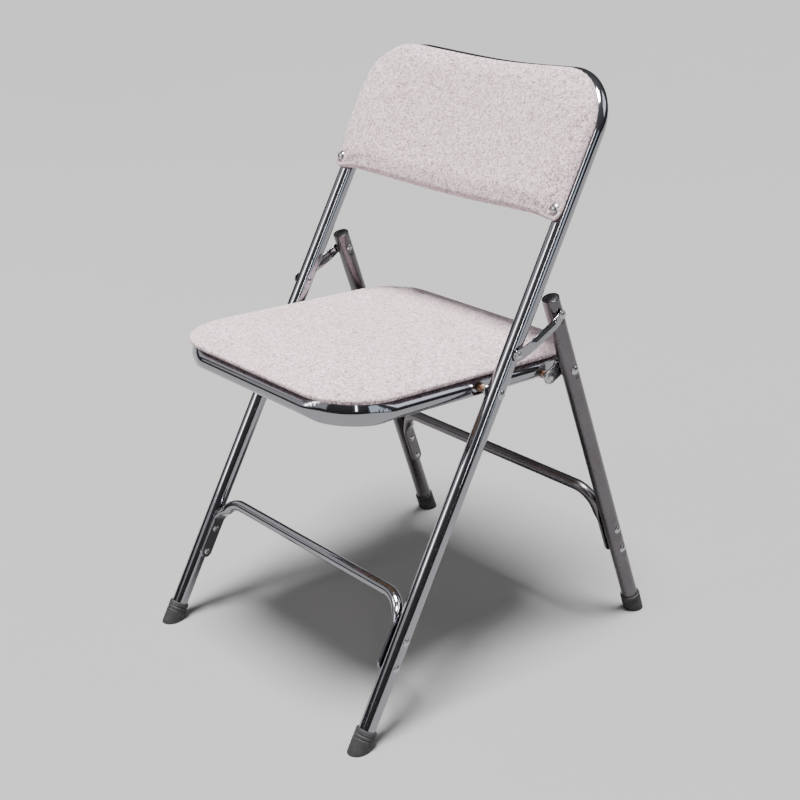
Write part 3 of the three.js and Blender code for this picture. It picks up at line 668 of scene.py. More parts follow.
def build_crossbar(plane, node, leg_x, body, slot, material):
    """A thin tube bent down at both ends, where it is pressed flat and riveted to the legs."""
    plate_half, plate_thick = 0.0096, 0.0021
    top = extent(plane, node)[1][2] - BAR_R
    lower = middle(plane, f"{node}_rivet_right_lower")[2]
    bottom = extent(plane, node)[0][2]
    bend_start = top - BAR_BEND_R

    def axis_x(height):
        return leg_x(height) - TUBE_R - BAR_R - GAP

    heights = np.arange(bottom, bend_start, 0.002)
    points = [(axis_x(h), 0, h) for h in heights]
    bend_x = axis_x(bend_start) - BAR_BEND_R
    points += [(x, 0, z) for x, z in arc((bend_x, bend_start), BAR_BEND_R, 0, 90, 40)]
    points += [(-x, y, z) for x, y, z in points[::-1]]
    path = Path(plane.out(points))
    flat_until = lower - bottom + 0.046
    round_from = flat_until + 0.024

    def shape(s, section):
        s = min(s, path.length - s)
        flat = 1 - smoothstep(flat_until, round_from, s)
        tip = plate_half - math.sqrt(max(plate_half ** 2 - max(plate_half - s, 0) ** 2, 0))
        swell = 1 + 0.06 * math.sin(math.pi * flat)
        half_width = BAR_R + (plate_half - tip - BAR_R) * flat
        half_thick = BAR_R + (plate_thick - BAR_R) * flat
        power = 2 / (2 + 2.2 * flat)
        first, second = section[:, 0] / BAR_R, section[:, 1] / BAR_R
        first = np.sign(first) * np.abs(first) ** power
        second = np.sign(second) * np.abs(second) ** power
        shift = BAR_R - half_thick
        return np.stack([first * half_thick + shift, second * max(half_width, 0.0002) * swell], -1)

    end_zone = round_from + BAR_BEND_R * 2
    ends = [(0, end_zone), (path.length - round_from - BAR_BEND_R * 2, path.length)]
    marks = stations(path.length, ends, fine=0.0014, coarse=0.008)
    rings = tube_rings(path, marks, plane.rear, BAR_R, 48, shape)
    bar = make_object(f"{node}_fine", *skin(rings), material)
    finish_piece(bar, body, slot, node)

    for side_name, side in SIDES.items():
        for level in ("upper", "lower"):
            name = f"{node}_rivet_{side_name}_{level}"
            x = leg_x(middle(plane, name)[2])
            inside = x - TUBE_R - 2 * plate_thick - GAP
            fit_rivet(name, body, plane, side, x + TUBE_R - DIMPLE, inside)


# ---- feet


def build_foot(plane, node, body):
    """A moulded rubber cup with two grip rings, ground level with the floor."""
    x, _, _ = middle(plane, node)
    radius = (extent(plane, node)[1][0] - extent(plane, node)[0][0]) / 2
    bore = TUBE_R + 0.00025
    below, groove, rounding = -0.012, 0.0006, 0.0014
    profile = [(0, below), (radius, below)]
    for ring in (0.0165, 0.0215):
        profile += [(radius, ring - 2 * groove), (radius - groove, ring - groove),
                    (radius - groove, ring + groove), (radius, ring + 2 * groove)]
    profile += arc((radius - rounding, FOOT_TOP - rounding), rounding, 0, 90, 5)
    profile += [(bore, FOOT_TOP), (bore, FOOT_SOLE - GAP), (0, FOOT_SOLE - GAP)]
    foot = turned(f"{node}_fine", profile, rubber, upright(plane, x), sides=64)
    cut_at_floor(foot)
    finish_piece(foot, body, "black_rubber", node)


def cut_at_floor(foot):
    """Takes off what lies below the floor, and rounds the new edge."""
    bm = bmesh.new()
    bm.from_mesh(foot.data)
    everything = [*bm.verts, *bm.edges, *bm.faces]
    cut = bmesh.ops.bisect_plane(
        bm, geom=everything, plane_co=(0, 0, 0), plane_no=(0, 0, 1), clear_inner=True,
    )
    rim = [e for e in cut["geom_cut"] if isinstance(e, bmesh.types.BMEdge)]
    bmesh.ops.contextual_create(bm, geom=rim)
    bmesh.ops.bevel(bm, geom=rim, offset=0.0009, segments=3, profile=0.5, affect="EDGES")
    bmesh.ops.recalc_face_normals(bm, faces=bm.faces)
    bm.to_mesh(foot.data)
    bm.free()


# ---- rear legs


def build_rear_leg(side_name, side):
    """A straight tube, open at the top round its plug."""
    node = f"rear_leg_{side_name}"
    top = extent(rear, node)[1][2]
    heights = [*np.arange(FOOT_SOLE, top, 0.004), top]
    path = Path(rear.out([(side * rear_leg_x(h), 0, h) for h in heights]))
    names = ["bracket_rivet_{}", "rear_crossbar_rivet_{}_upper", "rear_crossbar_rivet_{}_lower"]
    heads = [middle(rear, name.format(side_name))[2] for name in names]
    link_end = rear.into(np.mean(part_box(f"link_rear_rivet_{side_name}"), axis=0))[2]
    outer = [h - FOOT_SOLE for h in (*heads, link_end)]
    inner = [outer[-1], outer[0]]
    inner_depth = 0.0014
    shape = dimpled((outer, side, DIMPLE), (inner, -side, inner_depth))
    marks = stations(path.length, zones(outer))
    rings = list(tube_rings(path, marks[:-1], rear.rear, TUBE_R, 64, shape))
    lip = 0.0004
    for radius, drop in ((TUBE_R, lip), (TUBE_R - lip / 3, lip / 3), (TUBE_R - lip, 0),
                         (TUBE_R - TUBE_WALL, 0), (TUBE_R - TUBE_WALL, 0.016)):
        rings += list(tube_rings(path, [path.length - drop], rear.rear, radius, 64))
    leg = make_object(f"{node}_fine", *skin(rings), dull_chrome)
    finish_piece(leg, "rear_legs", "dull_chrome_tube", node)
    build_plug(side_name, side, top)


def build_plug(side_name, side, top):
    """The dished plastic end of a rear leg."""
    plug_r = TUBE_R - TUBE_WALL - GAP
    rounding = 0.0012
    profile = [(0, top - 0.013), (plug_r - 0.001, top - 0.013), (plug_r, top - 0.012),
               (plug_r, top - rounding)]
    profile += arc((plug_r - rounding, top - rounding), rounding, 0, 70, 4)
    profile += [(plug_r * 0.62, top + 0.0002), (plug_r * 0.55, top - 0.0008), (0, top - 0.0009)]
    place = upright(rear, side * rear_leg_x(top))
    plug = turned(f"rear_leg_plug_{side_name}_fine", profile, plastic, place)
    finish_piece(plug, "rear_legs", "black_plastic", f"rear_leg_plug_{side_name}")


# ---- seat ring


def ring_path():
    """Round the seat: forward along the right rail, across the front, back, and across the rear."""
    w, front_r, rear_r = RING_HALF, SEAT_FRONT_CORNER_R, SEAT_REAR_CORNER_R
    corners = [
        arc((w - rear_r, RING_DEPTH - rear_r), rear_r, 90, 0, 40),
        arc((w - front_r, front_r), front_r, 0, -90, 40),
        arc((front_r - w, front_r), front_r, 270, 180, 40),
        arc((rear_r - w, RING_DEPTH - rear_r), rear_r, 180, 90, 40),
    ]
    loop = []
    for corner, following in zip(corners, corners[1:] + corners[:1]):
        loop += corner
        start, end = np.array(corner[-1]), np.array(following[0])
        steps = int(np.linalg.norm(end - start) / 0.004)
        loop += [tuple(start + (end - start) * i / steps) for i in range(1, steps)]
    return Path(seat.out([(x, y, 0) for x, y in loop]), closed=True)


def length_at(path, point):
    """How far along a path its nearest point to a point lies."""
    distances = np.linalg.norm(path.points - point, axis=1)
    return path.at_point[int(np.argmin(distances))]


def ring_pockets(path):
    """Where the ring is pressed in for its pivots, as lengths along its path."""
    reaches = ((SEAT_PIVOT, 0.016, 0.026), (REAR_PIVOT, 0.009, 0.034))
    pockets = []
    for side in SIDES.values():
        for pivot, ahead, behind in reaches:
            ends = [seat.out((side * RING_HALF, pivot[1] + step, 0)) for step in (-ahead, behind)]
            pockets.append(sorted(length_at(path, end) for end in ends))
    return pockets


def press_pocket(s, section, start, end):
    """A stamped pocket with a rounded nose, between rims that keep the tube's height."""
    rim_in, rim_out, ramp, nose = 0.0062, 0.0094, 0.0065, 0.0055
    height = np.abs(section[:, 1])
    beyond = abs(s - (start + end) / 2) - (end - start) / 2 + nose * (height / rim_in) ** 2
    share = 1 - smoothstep(-ramp * 0.4, ramp, beyond)
    share = share * (1 - smoothstep(rim_in, rim_out, height))
    return press(section, 1, CRIMP_FLOOR, share)


def flatten_bend(section, share, ripple):
    """What a tight bend does to a tube: its outer wall sinks and it grows taller."""
    sink, grow = 0.0048, 0.0032
    outer = smoothstep(0.0, TUBE_R, section[:, 0])
    section[:, 0] -= share * outer * sink + ripple * outer
    section[:, 1] *= 1 + share * grow / TUBE_R
    return section


def build_seat_ring():
    path = ring_path()
    pockets = ring_pockets(path)
    bend_half = math.pi / 4 * SEAT_FRONT_CORNER_R
    turn = SEAT_FRONT_CORNER_R * (1 - math.sqrt(0.5))
    bends = [length_at(path, seat.out((side * (RING_HALF - turn), turn, 0))) for side in SIDES.values()]

    def shape(s, section):
        for start, end in pockets:
            if start - 0.03 < s < end + 0.03:
                section = press_pocket(s, section, start, end)
        for bend in bends:
            away = abs(s - bend)
            if away < bend_half * 1.2:
                share = 1 - smoothstep(bend_half * 0.55, bend_half * 1.1, away)
                wrinkle = math.exp(-((away - bend_half * 0.72) / 0.006) ** 2)
                section = flatten_bend(section, share, 0.00022 * wrinkle * math.sin(away * 1500))
        return section

    fine = [(a - 0.02, b + 0.02) for a, b in pockets]
    fine += [(b - bend_half, b + bend_half) for b in bends]
    marks = stations(path.length, fine, fine=0.0013, coarse=0.0035)[:-1]
    rings = tube_rings(path, marks, seat.up, TUBE_R, 96, shape)
    ring = make_object("seat_ring_fine", *skin(rings, closed=True), chrome)
    finish_piece(ring, "seat", "chrome_tube", "seat_ring")


def build_seat_tabs():
    """Small plates welded inside the ring, front and rear, that the seat's screws pass through."""
    reach_from, reach_to, half, thick, corner = 0.0095, 0.026, 0.011, 0.003, 0.005
    top = TUBE_R - 0.0002
    for side_name, side in SIDES.items():
        for end, rail, inward in (("front", 0.0, 1), ("rear", RING_DEPTH, -1)):
            x = middle(seat, f"seat_screw_{end}_{side_name}")[0]
            start = rail + inward * reach_from
            tip = rail + inward * (reach_to - corner)
            outline = [(x - half, start), (x + half, start)]
            outline += arc((x + half - corner, tip), corner, 0, 90 * inward, 8)
            outline += arc((x - half + corner, tip), corner, 90 * inward, 180 * inward, 8)
            tab = bevelled_plate(f"seat_tab_{end}_{side_name}", outline, top - thick, top, 0.0005,
                                 steel, seat.out)
            finish_piece(tab, "seat", "rivet_steel")


def bevelled_plate(name, outline, low, high, bevel, material, to_chair):
    """A flat plate from an outline in x, y, with its edges rounded over."""
    loop = np.array(outline, float)
    ahead = np.roll(loop, -1, 0) - loop
    behind = loop - np.roll(loop, 1, 0)
    ahead /= np.linalg.norm(ahead, axis=1)[:, None]
    behind /= np.linalg.norm(behind, axis=1)[:, None]
    turn = np.sign(np.sum(loop[:, 0] * np.roll(loop[:, 1], -1) - np.roll(loop[:, 0], -1) * loop[:, 1]))
    normals = ahead + behind
    normals = turn * np.stack([normals[:, 1], -normals[:, 0]], -1)
    normals /= np.linalg.norm(normals, axis=1)[:, None]
    rings = []
    for inset, height in ((bevel, low), (bevel * 0.3, low + bevel * 0.3), (0, low + bevel),
                          (0, high - bevel), (bevel * 0.3, high - bevel * 0.3), (bevel, high)):
        flat = loop - normals * inset
        rings.append(np.column_stack([flat, np.full(len(flat), height)]))
    points, faces = skin(rings)
    return make_object(name, to_chair(points), faces, material)


# ---- pivots, spacers, brackets


def build_seat_pivot(side_name, side):
    name = f"seat_pivot_rivet_{side_name}"
    leg = front_leg_x(middle(front, name)[2])
    fit_rivet(name, "front_frame", front, side, leg + TUBE_R - DIMPLE,
              RING_HALF - TUBE_R - PIVOT_TAIL_GAP, head=(0.0062, 0.0028), tail=(0.0052, 0.0016))
    build_spacer("seat_pivot", side_name, side, front, "front_frame")


def build_spacer(pivot, side_name, side, plane, body):
    """A rusty sleeve on a pivot's rivet, with a bright washer between it and the leg."""
    low, high = extent(plane, f"{pivot}_spacer_{side_name}")
    inner, outer = sorted((abs(low[0]), abs(high[0])))
    bore, sleeve_r, flare_r, washer_r = 0.0034, 0.0050, 0.0060, 0.0074
    washer_at = outer - 0.0034
    sleeve = [(bore, inner), (flare_r - 0.0003, inner), (flare_r, inner + 0.0004),
              (flare_r, inner + 0.0016), (sleeve_r, inner + 0.0030), (sleeve_r, washer_at - 0.0026),
              (flare_r, washer_at - 0.0014), (flare_r, washer_at - 0.0002),
              (bore, washer_at - 0.0002), (bore, inner)]
    across = sideways(plane, side, *middle(plane, f"{pivot}_rivet_{side_name}")[1:])
    piece = turned(f"{pivot}_spacer_{side_name}_fine", sleeve, rust, across)
    finish_piece(piece, body, "rusty_steel", f"{pivot}_spacer_{side_name}")
    washer = [(bore, washer_at), (washer_r - 0.0005, washer_at), (washer_r, washer_at + 0.0006),
              (washer_r, outer - 0.0012), (washer_r - 0.0007, outer - 0.0003), (bore, outer - 0.0003),
              (bore, washer_at)]
    piece = turned(f"{pivot}_washer_{side_name}", washer, steel, across)
    finish_piece(piece, body, "rivet_steel")


def build_rear_bracket(side_name, side):
    """A plate from each rear leg to the seat's rear pivot, with a raised boss round the pivot."""
    name = f"rear_bracket_{side_name}"
    low, high = extent(rear, name)
    inner, outer = sorted((abs(low[0]), abs(high[0])))
    start = rear.into(joints["rear_leg_fold"])[1:]
    end = middle(rear, f"bracket_rivet_{side_name}")[1:]
    along = (end - start) / np.linalg.norm(end - start)
    square = np.array((-along[1], along[0]))
    reach = np.linalg.norm(end - start)
    half, bevel, boss_r, boss_height = 0.0100, 0.0006, 0.0072, 0.0008

    def capsule(radius, x):
        points = arc((reach, 0), radius, -90, 90, 24) + arc((0, 0), radius, 90, 270, 24)
        places = np.array(points)
        away = np.linalg.norm(places, axis=1)
        lift = boss_height * (1 - smoothstep(boss_r - 0.0012, boss_r + 0.0008, away))
        flat = start + places[:, :1] * along + places[:, 1:] * square
        return np.column_stack([side * (x + lift * (1 if x > (inner + outer) / 2 else 0)), flat])

    insets = [bevel, *np.linspace(0.0012, half - 0.0004, 12)]
    rings = [capsule(half - inset, inner) for inset in insets[::-1]]
    rings += [capsule(half - bevel * 0.3, inner + bevel * 0.3), capsule(half, inner + bevel)]
    rings += [capsule(half, outer - bevel), capsule(half - bevel * 0.3, outer - bevel * 0.3)]
    rings += [capsule(half - inset, outer) for inset in insets]
    points, faces = skin(rings)
    bracket = make_object(f"{name}_fine", rear.out(points), faces, steel)
    finish_piece(bracket, "rear_legs", "rivet_steel", name)

    name = f"bracket_rivet_{side_name}"
    leg = rear_leg_x(middle(rear, name)[2])
    fit_rivet(name, "rear_legs", rear, side, leg + TUBE_R - DIMPLE, inner - GAP,
              head=(0.0060, 0.0027))
    fit_rivet(f"rear_pivot_rivet_{side_name}", "rear_legs", rear, side, outer + boss_height + 0.0001,
              RING_HALF - TUBE_R - PIVOT_TAIL_GAP, head=(0.0056, 0.0022), tail=(0.0052, 0.0016))
    build_spacer("rear_pivot", side_name, side, rear, "rear_legs")


# ---- links


def link_edges(length):
    """Functions that give the lower and upper edge of a link at a distance along it."""
    t = np.linspace(0, 1, 40)
    lower_edge, upper_edge = -0.0108, 0.0040

    def curve(start, control, end):
        p = [(1 - t) ** 2 * a + 2 * t * (1 - t) * b + t ** 2 * c for a, b, c in zip(start, control, end)]
        return p[0], p[1]

    low_x, low_y = curve((0.68 * length, lower_edge), (0.86 * length, lower_edge), (length, -LINK_REAR_R))
    dip_x, dip_y = curve((0, -LINK_FRONT_R), (0.14 * length, lower_edge), (0.28 * length, lower_edge))
    low_x = np.concatenate([dip_x, low_x])
    low_y = np.concatenate([dip_y, low_y])
    in_x, in_y = curve((0, LINK_FRONT_R), (0.12 * length, upper_edge + 0.0006),
                       (0.28 * length, upper_edge))
    out_x, out_y = curve((0.80 * length, upper_edge), (0.92 * length, upper_edge),
                         (length, LINK_REAR_R))
    high_x = np.concatenate([in_x, out_x])
    high_y = np.concatenate([in_y, out_y])
    return (lambda u: np.interp(u, low_x, low_y)), (lambda u: np.interp(u, high_x, high_y))


def link_shape(length):
    """Functions for a link's two edges at u along it, and how far it stands out at u, v."""
    rib_height, rib_half, step_out = 0.0028, 0.0052, 0.0005
    lower, upper = link_edges(length)

    def edge(u):
        """Lower and upper edge, closed round the two eyes."""
        if 0 <= u <= length:
            return float(lower(u)), float(upper(u))
        radius, beyond = (LINK_FRONT_R, u) if u < 0 else (LINK_REAR_R, u - length)
        half = math.sqrt(max(radius ** 2 - beyond ** 2, 0))
        return -half, half

    def between(u, start, full, fade, end):
        """Rises from 0 to 1 and falls again, at shares of the length."""
        rise = smoothstep(start * length, full * length, u)
        return rise, 1 - smoothstep(fade * length, end * length, u)

    def lift(u, v):
        bottom, top = edge(u)
        crest = bottom * 0.4 + top * 0.6
        rise, fall = between(u, 0.26, 0.36, 0.80, 0.90)
        rib = rib_height * (rise * fall) * (1 - smoothstep(0.15, 1.0, np.abs(v - crest) / rib_half))
        rise, fall = between(u, 0.05, 0.3, 0.88, 0.98)
        return rib + step_out * rise * fall

    return edge, lift


def build_link(side_name, side):
    """A pressed strip: a wide flat eye, a raised rib, and a small eye set back at the rear."""
    name = f"link_{side_name}"
    start = joints[f"link_{side_name}_fold"]
    low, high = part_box(f"link_rear_rivet_{side_name}")
    end = (np.array(low) + np.array(high)) / 2
    reach = end[1:] - start[1:]
    length = np.linalg.norm(reach)
    along = reach / length
    square = np.array((-along[1], along[0]))
    inner = min(abs(v[0]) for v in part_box(name))
    thick, round_in, least = 0.0016, 0.0004, 0.0002
    edge, lift = link_shape(length)

    across = np.concatenate([[0.0, 0.015, 0.05], np.linspace(0.1, 0.9, 25), [0.95, 0.985, 1.0]])
    quarter = np.linspace(0, math.pi / 2, 14)
    front_steps = -LINK_FRONT_R * np.cos(quarter)
    rear_steps = length + LINK_REAR_R * np.sin(quarter)
    rings = []
    for u in (*front_steps[:-1], *np.linspace(0, length, 64), *rear_steps[1:]):
        bottom, top = edge(u)
        bottom, top = min(bottom, -least), max(top, least)
        v = bottom + (top - bottom) * across
        drop = round_in * (1 - np.minimum(np.minimum(v - bottom, top - v) / round_in, 1)) ** 2
        out_face = [(inner + thick + lift(u, p) - d, p) for p, d in zip(v, drop)]
        in_face = [(inner + lift(u, p) + d, p) for p, d in zip(v[::-1], drop[::-1])]
        places = [(side * x, start[1:] + u * along + p * square) for x, p in out_face + in_face]
        rings.append([(x, *flat) for x, flat in places])
    strip = make_object(f"{name}_fine", *skin(rings), chrome, sharp=50)
    finish_piece(strip, f"link_arm_{side_name}", "chrome_tube", name)
    build_link_rivets(side_name, side, end, inner, inner + thick)


def build_link_rivets(side_name, side, end, inner, face):
    """The rear rivet's head turns with the link and its tail with the leg. The front one is whole."""
    shank, tail_r = 0.0021, 0.0044
    name = f"link_rear_rivet_{side_name}"
    world = Plane((0, 0, 0), (0, 0, 1))
    head = [(0, inner + 0.0003), (shank, inner + 0.0003), (shank, face)]
    head += [(r, face + h) for r, h in dome(0.0049, 0.0023)]
    piece = turned(f"{name}_fine", head, steel, sideways(world, side, end[1], end[2]))
    finish_piece(piece, f"link_arm_{side_name}", "rivet_steel", name)

    _, y, z = rear.into(end)
    tail_at = rear_leg_x(z) - TUBE_R + LINK_TAIL_SINK
    tail = [(0, tail_at), (tail_r, tail_at)]
    tail += [(r, tail_at - h) for r, h in dome(tail_r, 0.0015)]
    piece = turned(f"link_rear_rivet_tail_{side_name}", tail, steel, sideways(rear, side, y, z))
    finish_piece(piece, "rear_legs", "rivet_steel")

    name = f"link_front_rivet_{side_name}"
    tail_at = front_leg_x(middle(front, name)[2]) - TUBE_R + LINK_TAIL_SINK
    fit_rivet(name, "front_frame", front, side, face, tail_at,
              head=(0.0050, 0.0024), tail=(0.0042, 0.0014))


# ---- outlines of the pads


class Outline:
    """A rounded rectangle in a pad's flat measure, with its own radius at each end."""

    def __init__(self, half, low, high, low_radius, high_radius):
        self.half, self.low, self.high = half, low, high
        self.low_radius, self.high_radius = low_radius, high_radius

    def margin(self, x, y):
        """Distance outside the outline, negative inside, and the way out as a unit vector."""
        centre = (self.low + self.high) / 2
        radius = np.where(y < centre, self.low_radius, self.high_radius)
        qx = np.abs(x) - self.half + radius
        qy = np.abs(y - centre) - (self.high - self.low) / 2 + radius
        outside = np.hypot(np.maximum(qx, 0), np.maximum(qy, 0))
        distance = np.minimum(np.maximum(qx, qy), 0) + outside - radius
        reach = np.maximum(outside, 1e-9)
        gx = np.where(outside > 0, np.maximum(qx, 0) / reach, (qx > qy) * 1.0)
        gy = np.where(outside > 0, np.maximum(qy, 0) / reach, (qx <= qy) * 1.0)
        return distance, gx * np.sign(x), gy * np.sign(y - centre)

    def loop(self, margin, steps=20):
        half, low, high = self.half + margin, self.low - margin, self.high + margin
        low_r, high_r = max(self.low_radius + margin, 0.001), max(self.high_radius + margin, 0.001)
        points = arc((half - low_r, low + low_r), low_r, -90, 0, steps)
        points += arc((half - high_r, high - high_r), high_r, 0, 90, steps)
        points += arc((high_r - half, high - high_r), high_r, 90, 180, steps)
        points += arc((low_r - half, low + low_r), low_r, 180, 270, steps)
        return np.array(points)


def pad_solid(name, outline, profile):
    """A closed solid from (margin, height) pairs, from its underside round to its top."""
    rings = []
    for margin, height in profile:
        loop = outline.loop(margin)
        rings.append(np.column_stack([loop, np.full(len(loop), height)]))
    points, faces = skin(rings)
    return make_object(name, points, faces, fabric)


def evaluated_copy(obj, name):
    graph = bpy.context.evaluated_depsgraph_get()
    mesh = bpy.data.meshes.new_from_object(obj.evaluated_get(graph))
    copy = bpy.data.objects.new(name, mesh)
    bpy.context.scene.collection.objects.link(copy)
    return copy


def remeshed(obj, voxel, name):
    modifier = obj.modifiers.new("voxels", "REMESH")
    modifier.mode = "VOXEL"
    modifier.voxel_size = voxel
    smooth = obj.modifiers.new("even", "SMOOTH")
    smooth.factor = 0.5
    smooth.iterations = 4
    copy = evaluated_copy(obj, name)
    bpy.data.objects.remove(obj)
    return copy


def coordinates(obj):
    points = np.empty(len(obj.data.vertices) * 3, np.float32)
    obj.data.vertices.foreach_get("co", points)
    return points.reshape(-1, 3).astype(float)


def set_coordinates(obj, points):
    obj.data.vertices.foreach_set("co", np.asarray(points, np.float32).ravel())
    obj.data.update()


def inflate(obj, held, cap, pressure):
    """Swells a pad as cloth under pressure, with its held points pinned, and bakes the result in."""
    start = coordinates(obj)
    group = obj.vertex_groups.new(name="held")
    for index in np.nonzero(held)[0]:
        group.add([int(index)], 1.0, "REPLACE")
    cloth = obj.modifiers.new("Cloth", "CLOTH")
    settings = cloth.settings
    settings.quality = 5
    settings.mass = 0.3
    settings.tension_stiffness = 12
    settings.compression_stiffness = 12
    settings.shear_stiffness = 6
    settings.bending_stiffness = 0.6
    settings.vertex_group_mass = "held"
    settings.use_pressure = True
    settings.uniform_pressure_force = pressure
    settings.effector_weights.gravity = 0
    cloth.collision_settings.use_collision = False
    scene = bpy.context.scene
    for number in range(1, 21):
        scene.frame_set(number)
    swollen = evaluated_copy(obj, "swollen")
    moved = coordinates(swollen) - start
    bpy.data.objects.remove(swollen)
    obj.modifiers.remove(cloth)
    obj.vertex_groups.remove(group)
    scene.frame_set(1)
    size = np.linalg.norm(moved, axis=1)
    set_coordinates(obj, start + moved * np.minimum(1, cap / np.maximum(size, 1e-9))[:, None])


def subdivided(obj, name):
    modifier = obj.modifiers.new("fine", "SUBSURF")
    modifier.levels = modifier.render_levels = 1
    copy = evaluated_copy(obj, name)
    bpy.data.objects.remove(obj)
    return copy


def store_cloth_measure(obj, flat):
    """Keeps each point's place in the flat cloth, for the weave."""
    attribute = obj.data.attributes.new("cloth", "FLOAT_VECTOR", "POINT")
    attribute.data.foreach_set("vector", np.asarray(flat, np.float32).ravel())


def pad_start(outline, profile, voxel, name, rise, height, reach):
    """A pad before it swells: its profile, and its top raised towards the middle."""
    pad = remeshed(pad_solid("pad_start", outline, profile), voxel, name)
    points = coordinates(pad)
    margin, _, _ = outline.margin(points[:, 0], points[:, 1])
    top = smoothstep(*rise, points[:, 2])
    points[:, 2] += top * height * (1 - np.exp(-np.clip(-margin, 0, None) / reach))
    set_coordinates(pad, points)
    return pad


def lay_cloth(pad, points, shoulder, margin, out_x, out_y):
    """The cloth's flat measure: what hangs down below the shoulder is laid outwards."""
    drop = np.clip(shoulder - points[:, 2], 0, None) * smoothstep(-0.010, 0.0, margin)
    flat = [points[:, 0] + out_x * drop, points[:, 1] + out_y * drop, 0 * drop]
    store_cloth_measure(pad, np.column_stack(flat))


def dress_pad(pad):
    pad.data.materials.clear()
    pad.data.materials.append(fabric)
    pad.data.shade_smooth()


# ---- seat pad


def seat_pad_start(outline):
    """The pad before it swells: round at the edge, and higher towards the middle."""
    profile = [(-PUFF_EDGE, 0.0125), (-0.006, 0.0125), (0.0030, 0.0126), (0.0084, 0.0144),
               (0.0104, 0.0184), (0.0098, 0.0224), (0.0070, 0.0258), (0.0020, 0.0282),
               (-0.0060, 0.0298), (-PUFF_EDGE, 0.0308)]
    return pad_start(outline, profile, 0.0045, "seat_pad_start", (0.0200, 0.0270), 0.0048, 0.060)


def build_seat_pad():
    """A crowned foam pad whose cloth is pulled down round the edge of its board."""
    outline = Outline(RING_HALF, 0.0, RING_DEPTH, SEAT_FRONT_CORNER_R, SEAT_REAR_CORNER_R)
    pad = seat_pad_start(outline)
    inflate(pad, coordinates(pad)[:, 2] < 0.0205, cap=0.0030, pressure=4.0)
    pad = subdivided(pad, "seat_pad_fine")
    points = coordinates(pad)
    margin, out_x, out_y = outline.margin(points[:, 0], points[:, 1])

    corner = np.abs(out_x * out_y) * 2
    near_edge = smoothstep(-0.040, 0.0, margin)
    points[:, 2] -= smoothstep(0.016, 0.028, points[:, 2]) * corner * near_edge * 0.0018
    over_board = (margin < -BOARD_INSET) & (points[:, 2] < 0.0185)
    points[over_board, 2] = BOARD_TOP + GAP
    points[:, 2] = np.maximum(points[:, 2], TUBE_R + GAP)
    set_coordinates(pad, points)

    lay_cloth(pad, points, 0.028, margin, out_x, out_y)
    pad.data.transform(seat.matrix())
    dress_pad(pad)
    finish_piece(pad, "seat", "heather_fabric", "seat_pad")


# ---- seat board and its underside


def build_seat_board():
    outline = Outline(RING_HALF - BOARD_INSET, BOARD_INSET, RING_DEPTH - BOARD_INSET,
                      SEAT_FRONT_CORNER_R - BOARD_INSET, SEAT_REAR_CORNER_R - BOARD_INSET)
    board = bevelled_plate("seat_board_fine", outline.loop(0), BOARD_BOTTOM, BOARD_TOP, 0.0006,
                           wood, seat.out)
    finish_piece(board, "seat", "seat_board_wood", "seat_board")
    build_hem(outline)


def build_hem(outline):
    """The cloth that is folded over under the board, with a wavy cut edge, and its staples."""
    inner, wave = 0.030, 0.0018
    loop_out = outline.loop(-0.0005, 40)
    base = outline.loop(-inner, 40)
    count = len(base)
    step = np.arange(count)
    ripple = wave * (np.sin(step * 1.7) + 0.6 * np.sin(step * 0.61 + 1.0))
    way = base - loop_out
    way /= np.linalg.norm(way, axis=1)[:, None]
    loop_in = base + way * ripple[:, None]
    under, thick = BOARD_BOTTOM - 0.00005, 0.0007
    rings = []
    for share, layers in ((0, 0), (0, 1), (0.25, 1), (0.5, 1.3), (0.75, 1), (0.97, 1), (1, 0.6), (1, 0)):
        height = under - thick * layers
        flat = loop_out + (loop_in - loop_out) * share
        folds = 0.00035 * np.sin(step * 2.3) * math.sin(math.pi * share)
        rings.append(np.column_stack([flat, height - np.abs(folds)]))
    points, faces = skin(rings, closed=True)
    hem = make_object("seat_fabric_hem", seat.out(points), faces, fabric)
    store_cloth_measure(hem, seat.into(coordinates(hem)) * (1, 1, 0))
    finish_piece(hem, "seat", "heather_fabric")
    build_staples(outline, under - thick * 1.3)


def build_staples(outline, height):
    """Wire staples that hold the hem, in a row all round inside the ring."""
    spacing, reach, wire = 0.034, 0.0050, 0.0005
    line = outline.loop(-0.021, 60)
    path = Path(np.column_stack([line, np.full(len(line), height)]), closed=True)
    shells = []
    for s in np.arange(spacing / 2, path.length, spacing):
        centre, along = path.at(s), path.tangent(s)
        turn = math.radians(12 * math.sin(s * 90))
        along = np.array((along[0] * math.cos(turn) - along[1] * math.sin(turn),
                          along[0] * math.sin(turn) + along[1] * math.cos(turn), 0))
        ends = [centre - along * reach, centre + along * reach]
        bend = np.array((0, 0, 0.0012))
        points = [ends[0] + bend, ends[0] + bend * 0.3, ends[0] + along * 0.0005]
        points += [ends[1] - along * 0.0005, ends[1] + bend * 0.3, ends[1] + bend]
        staple = Path(points)
        marks = np.linspace(0, staple.length, 14)
        side = np.cross(along, (0, 0, 1))
        shells.append(skin(tube_rings(staple, marks, side, wire, 10)))
    points, faces = join_shells(*shells)
    staples = make_object("seat_staples", seat.out(np.array(points)), faces, steel)
    finish_piece(staples, "seat", "rivet_steel")


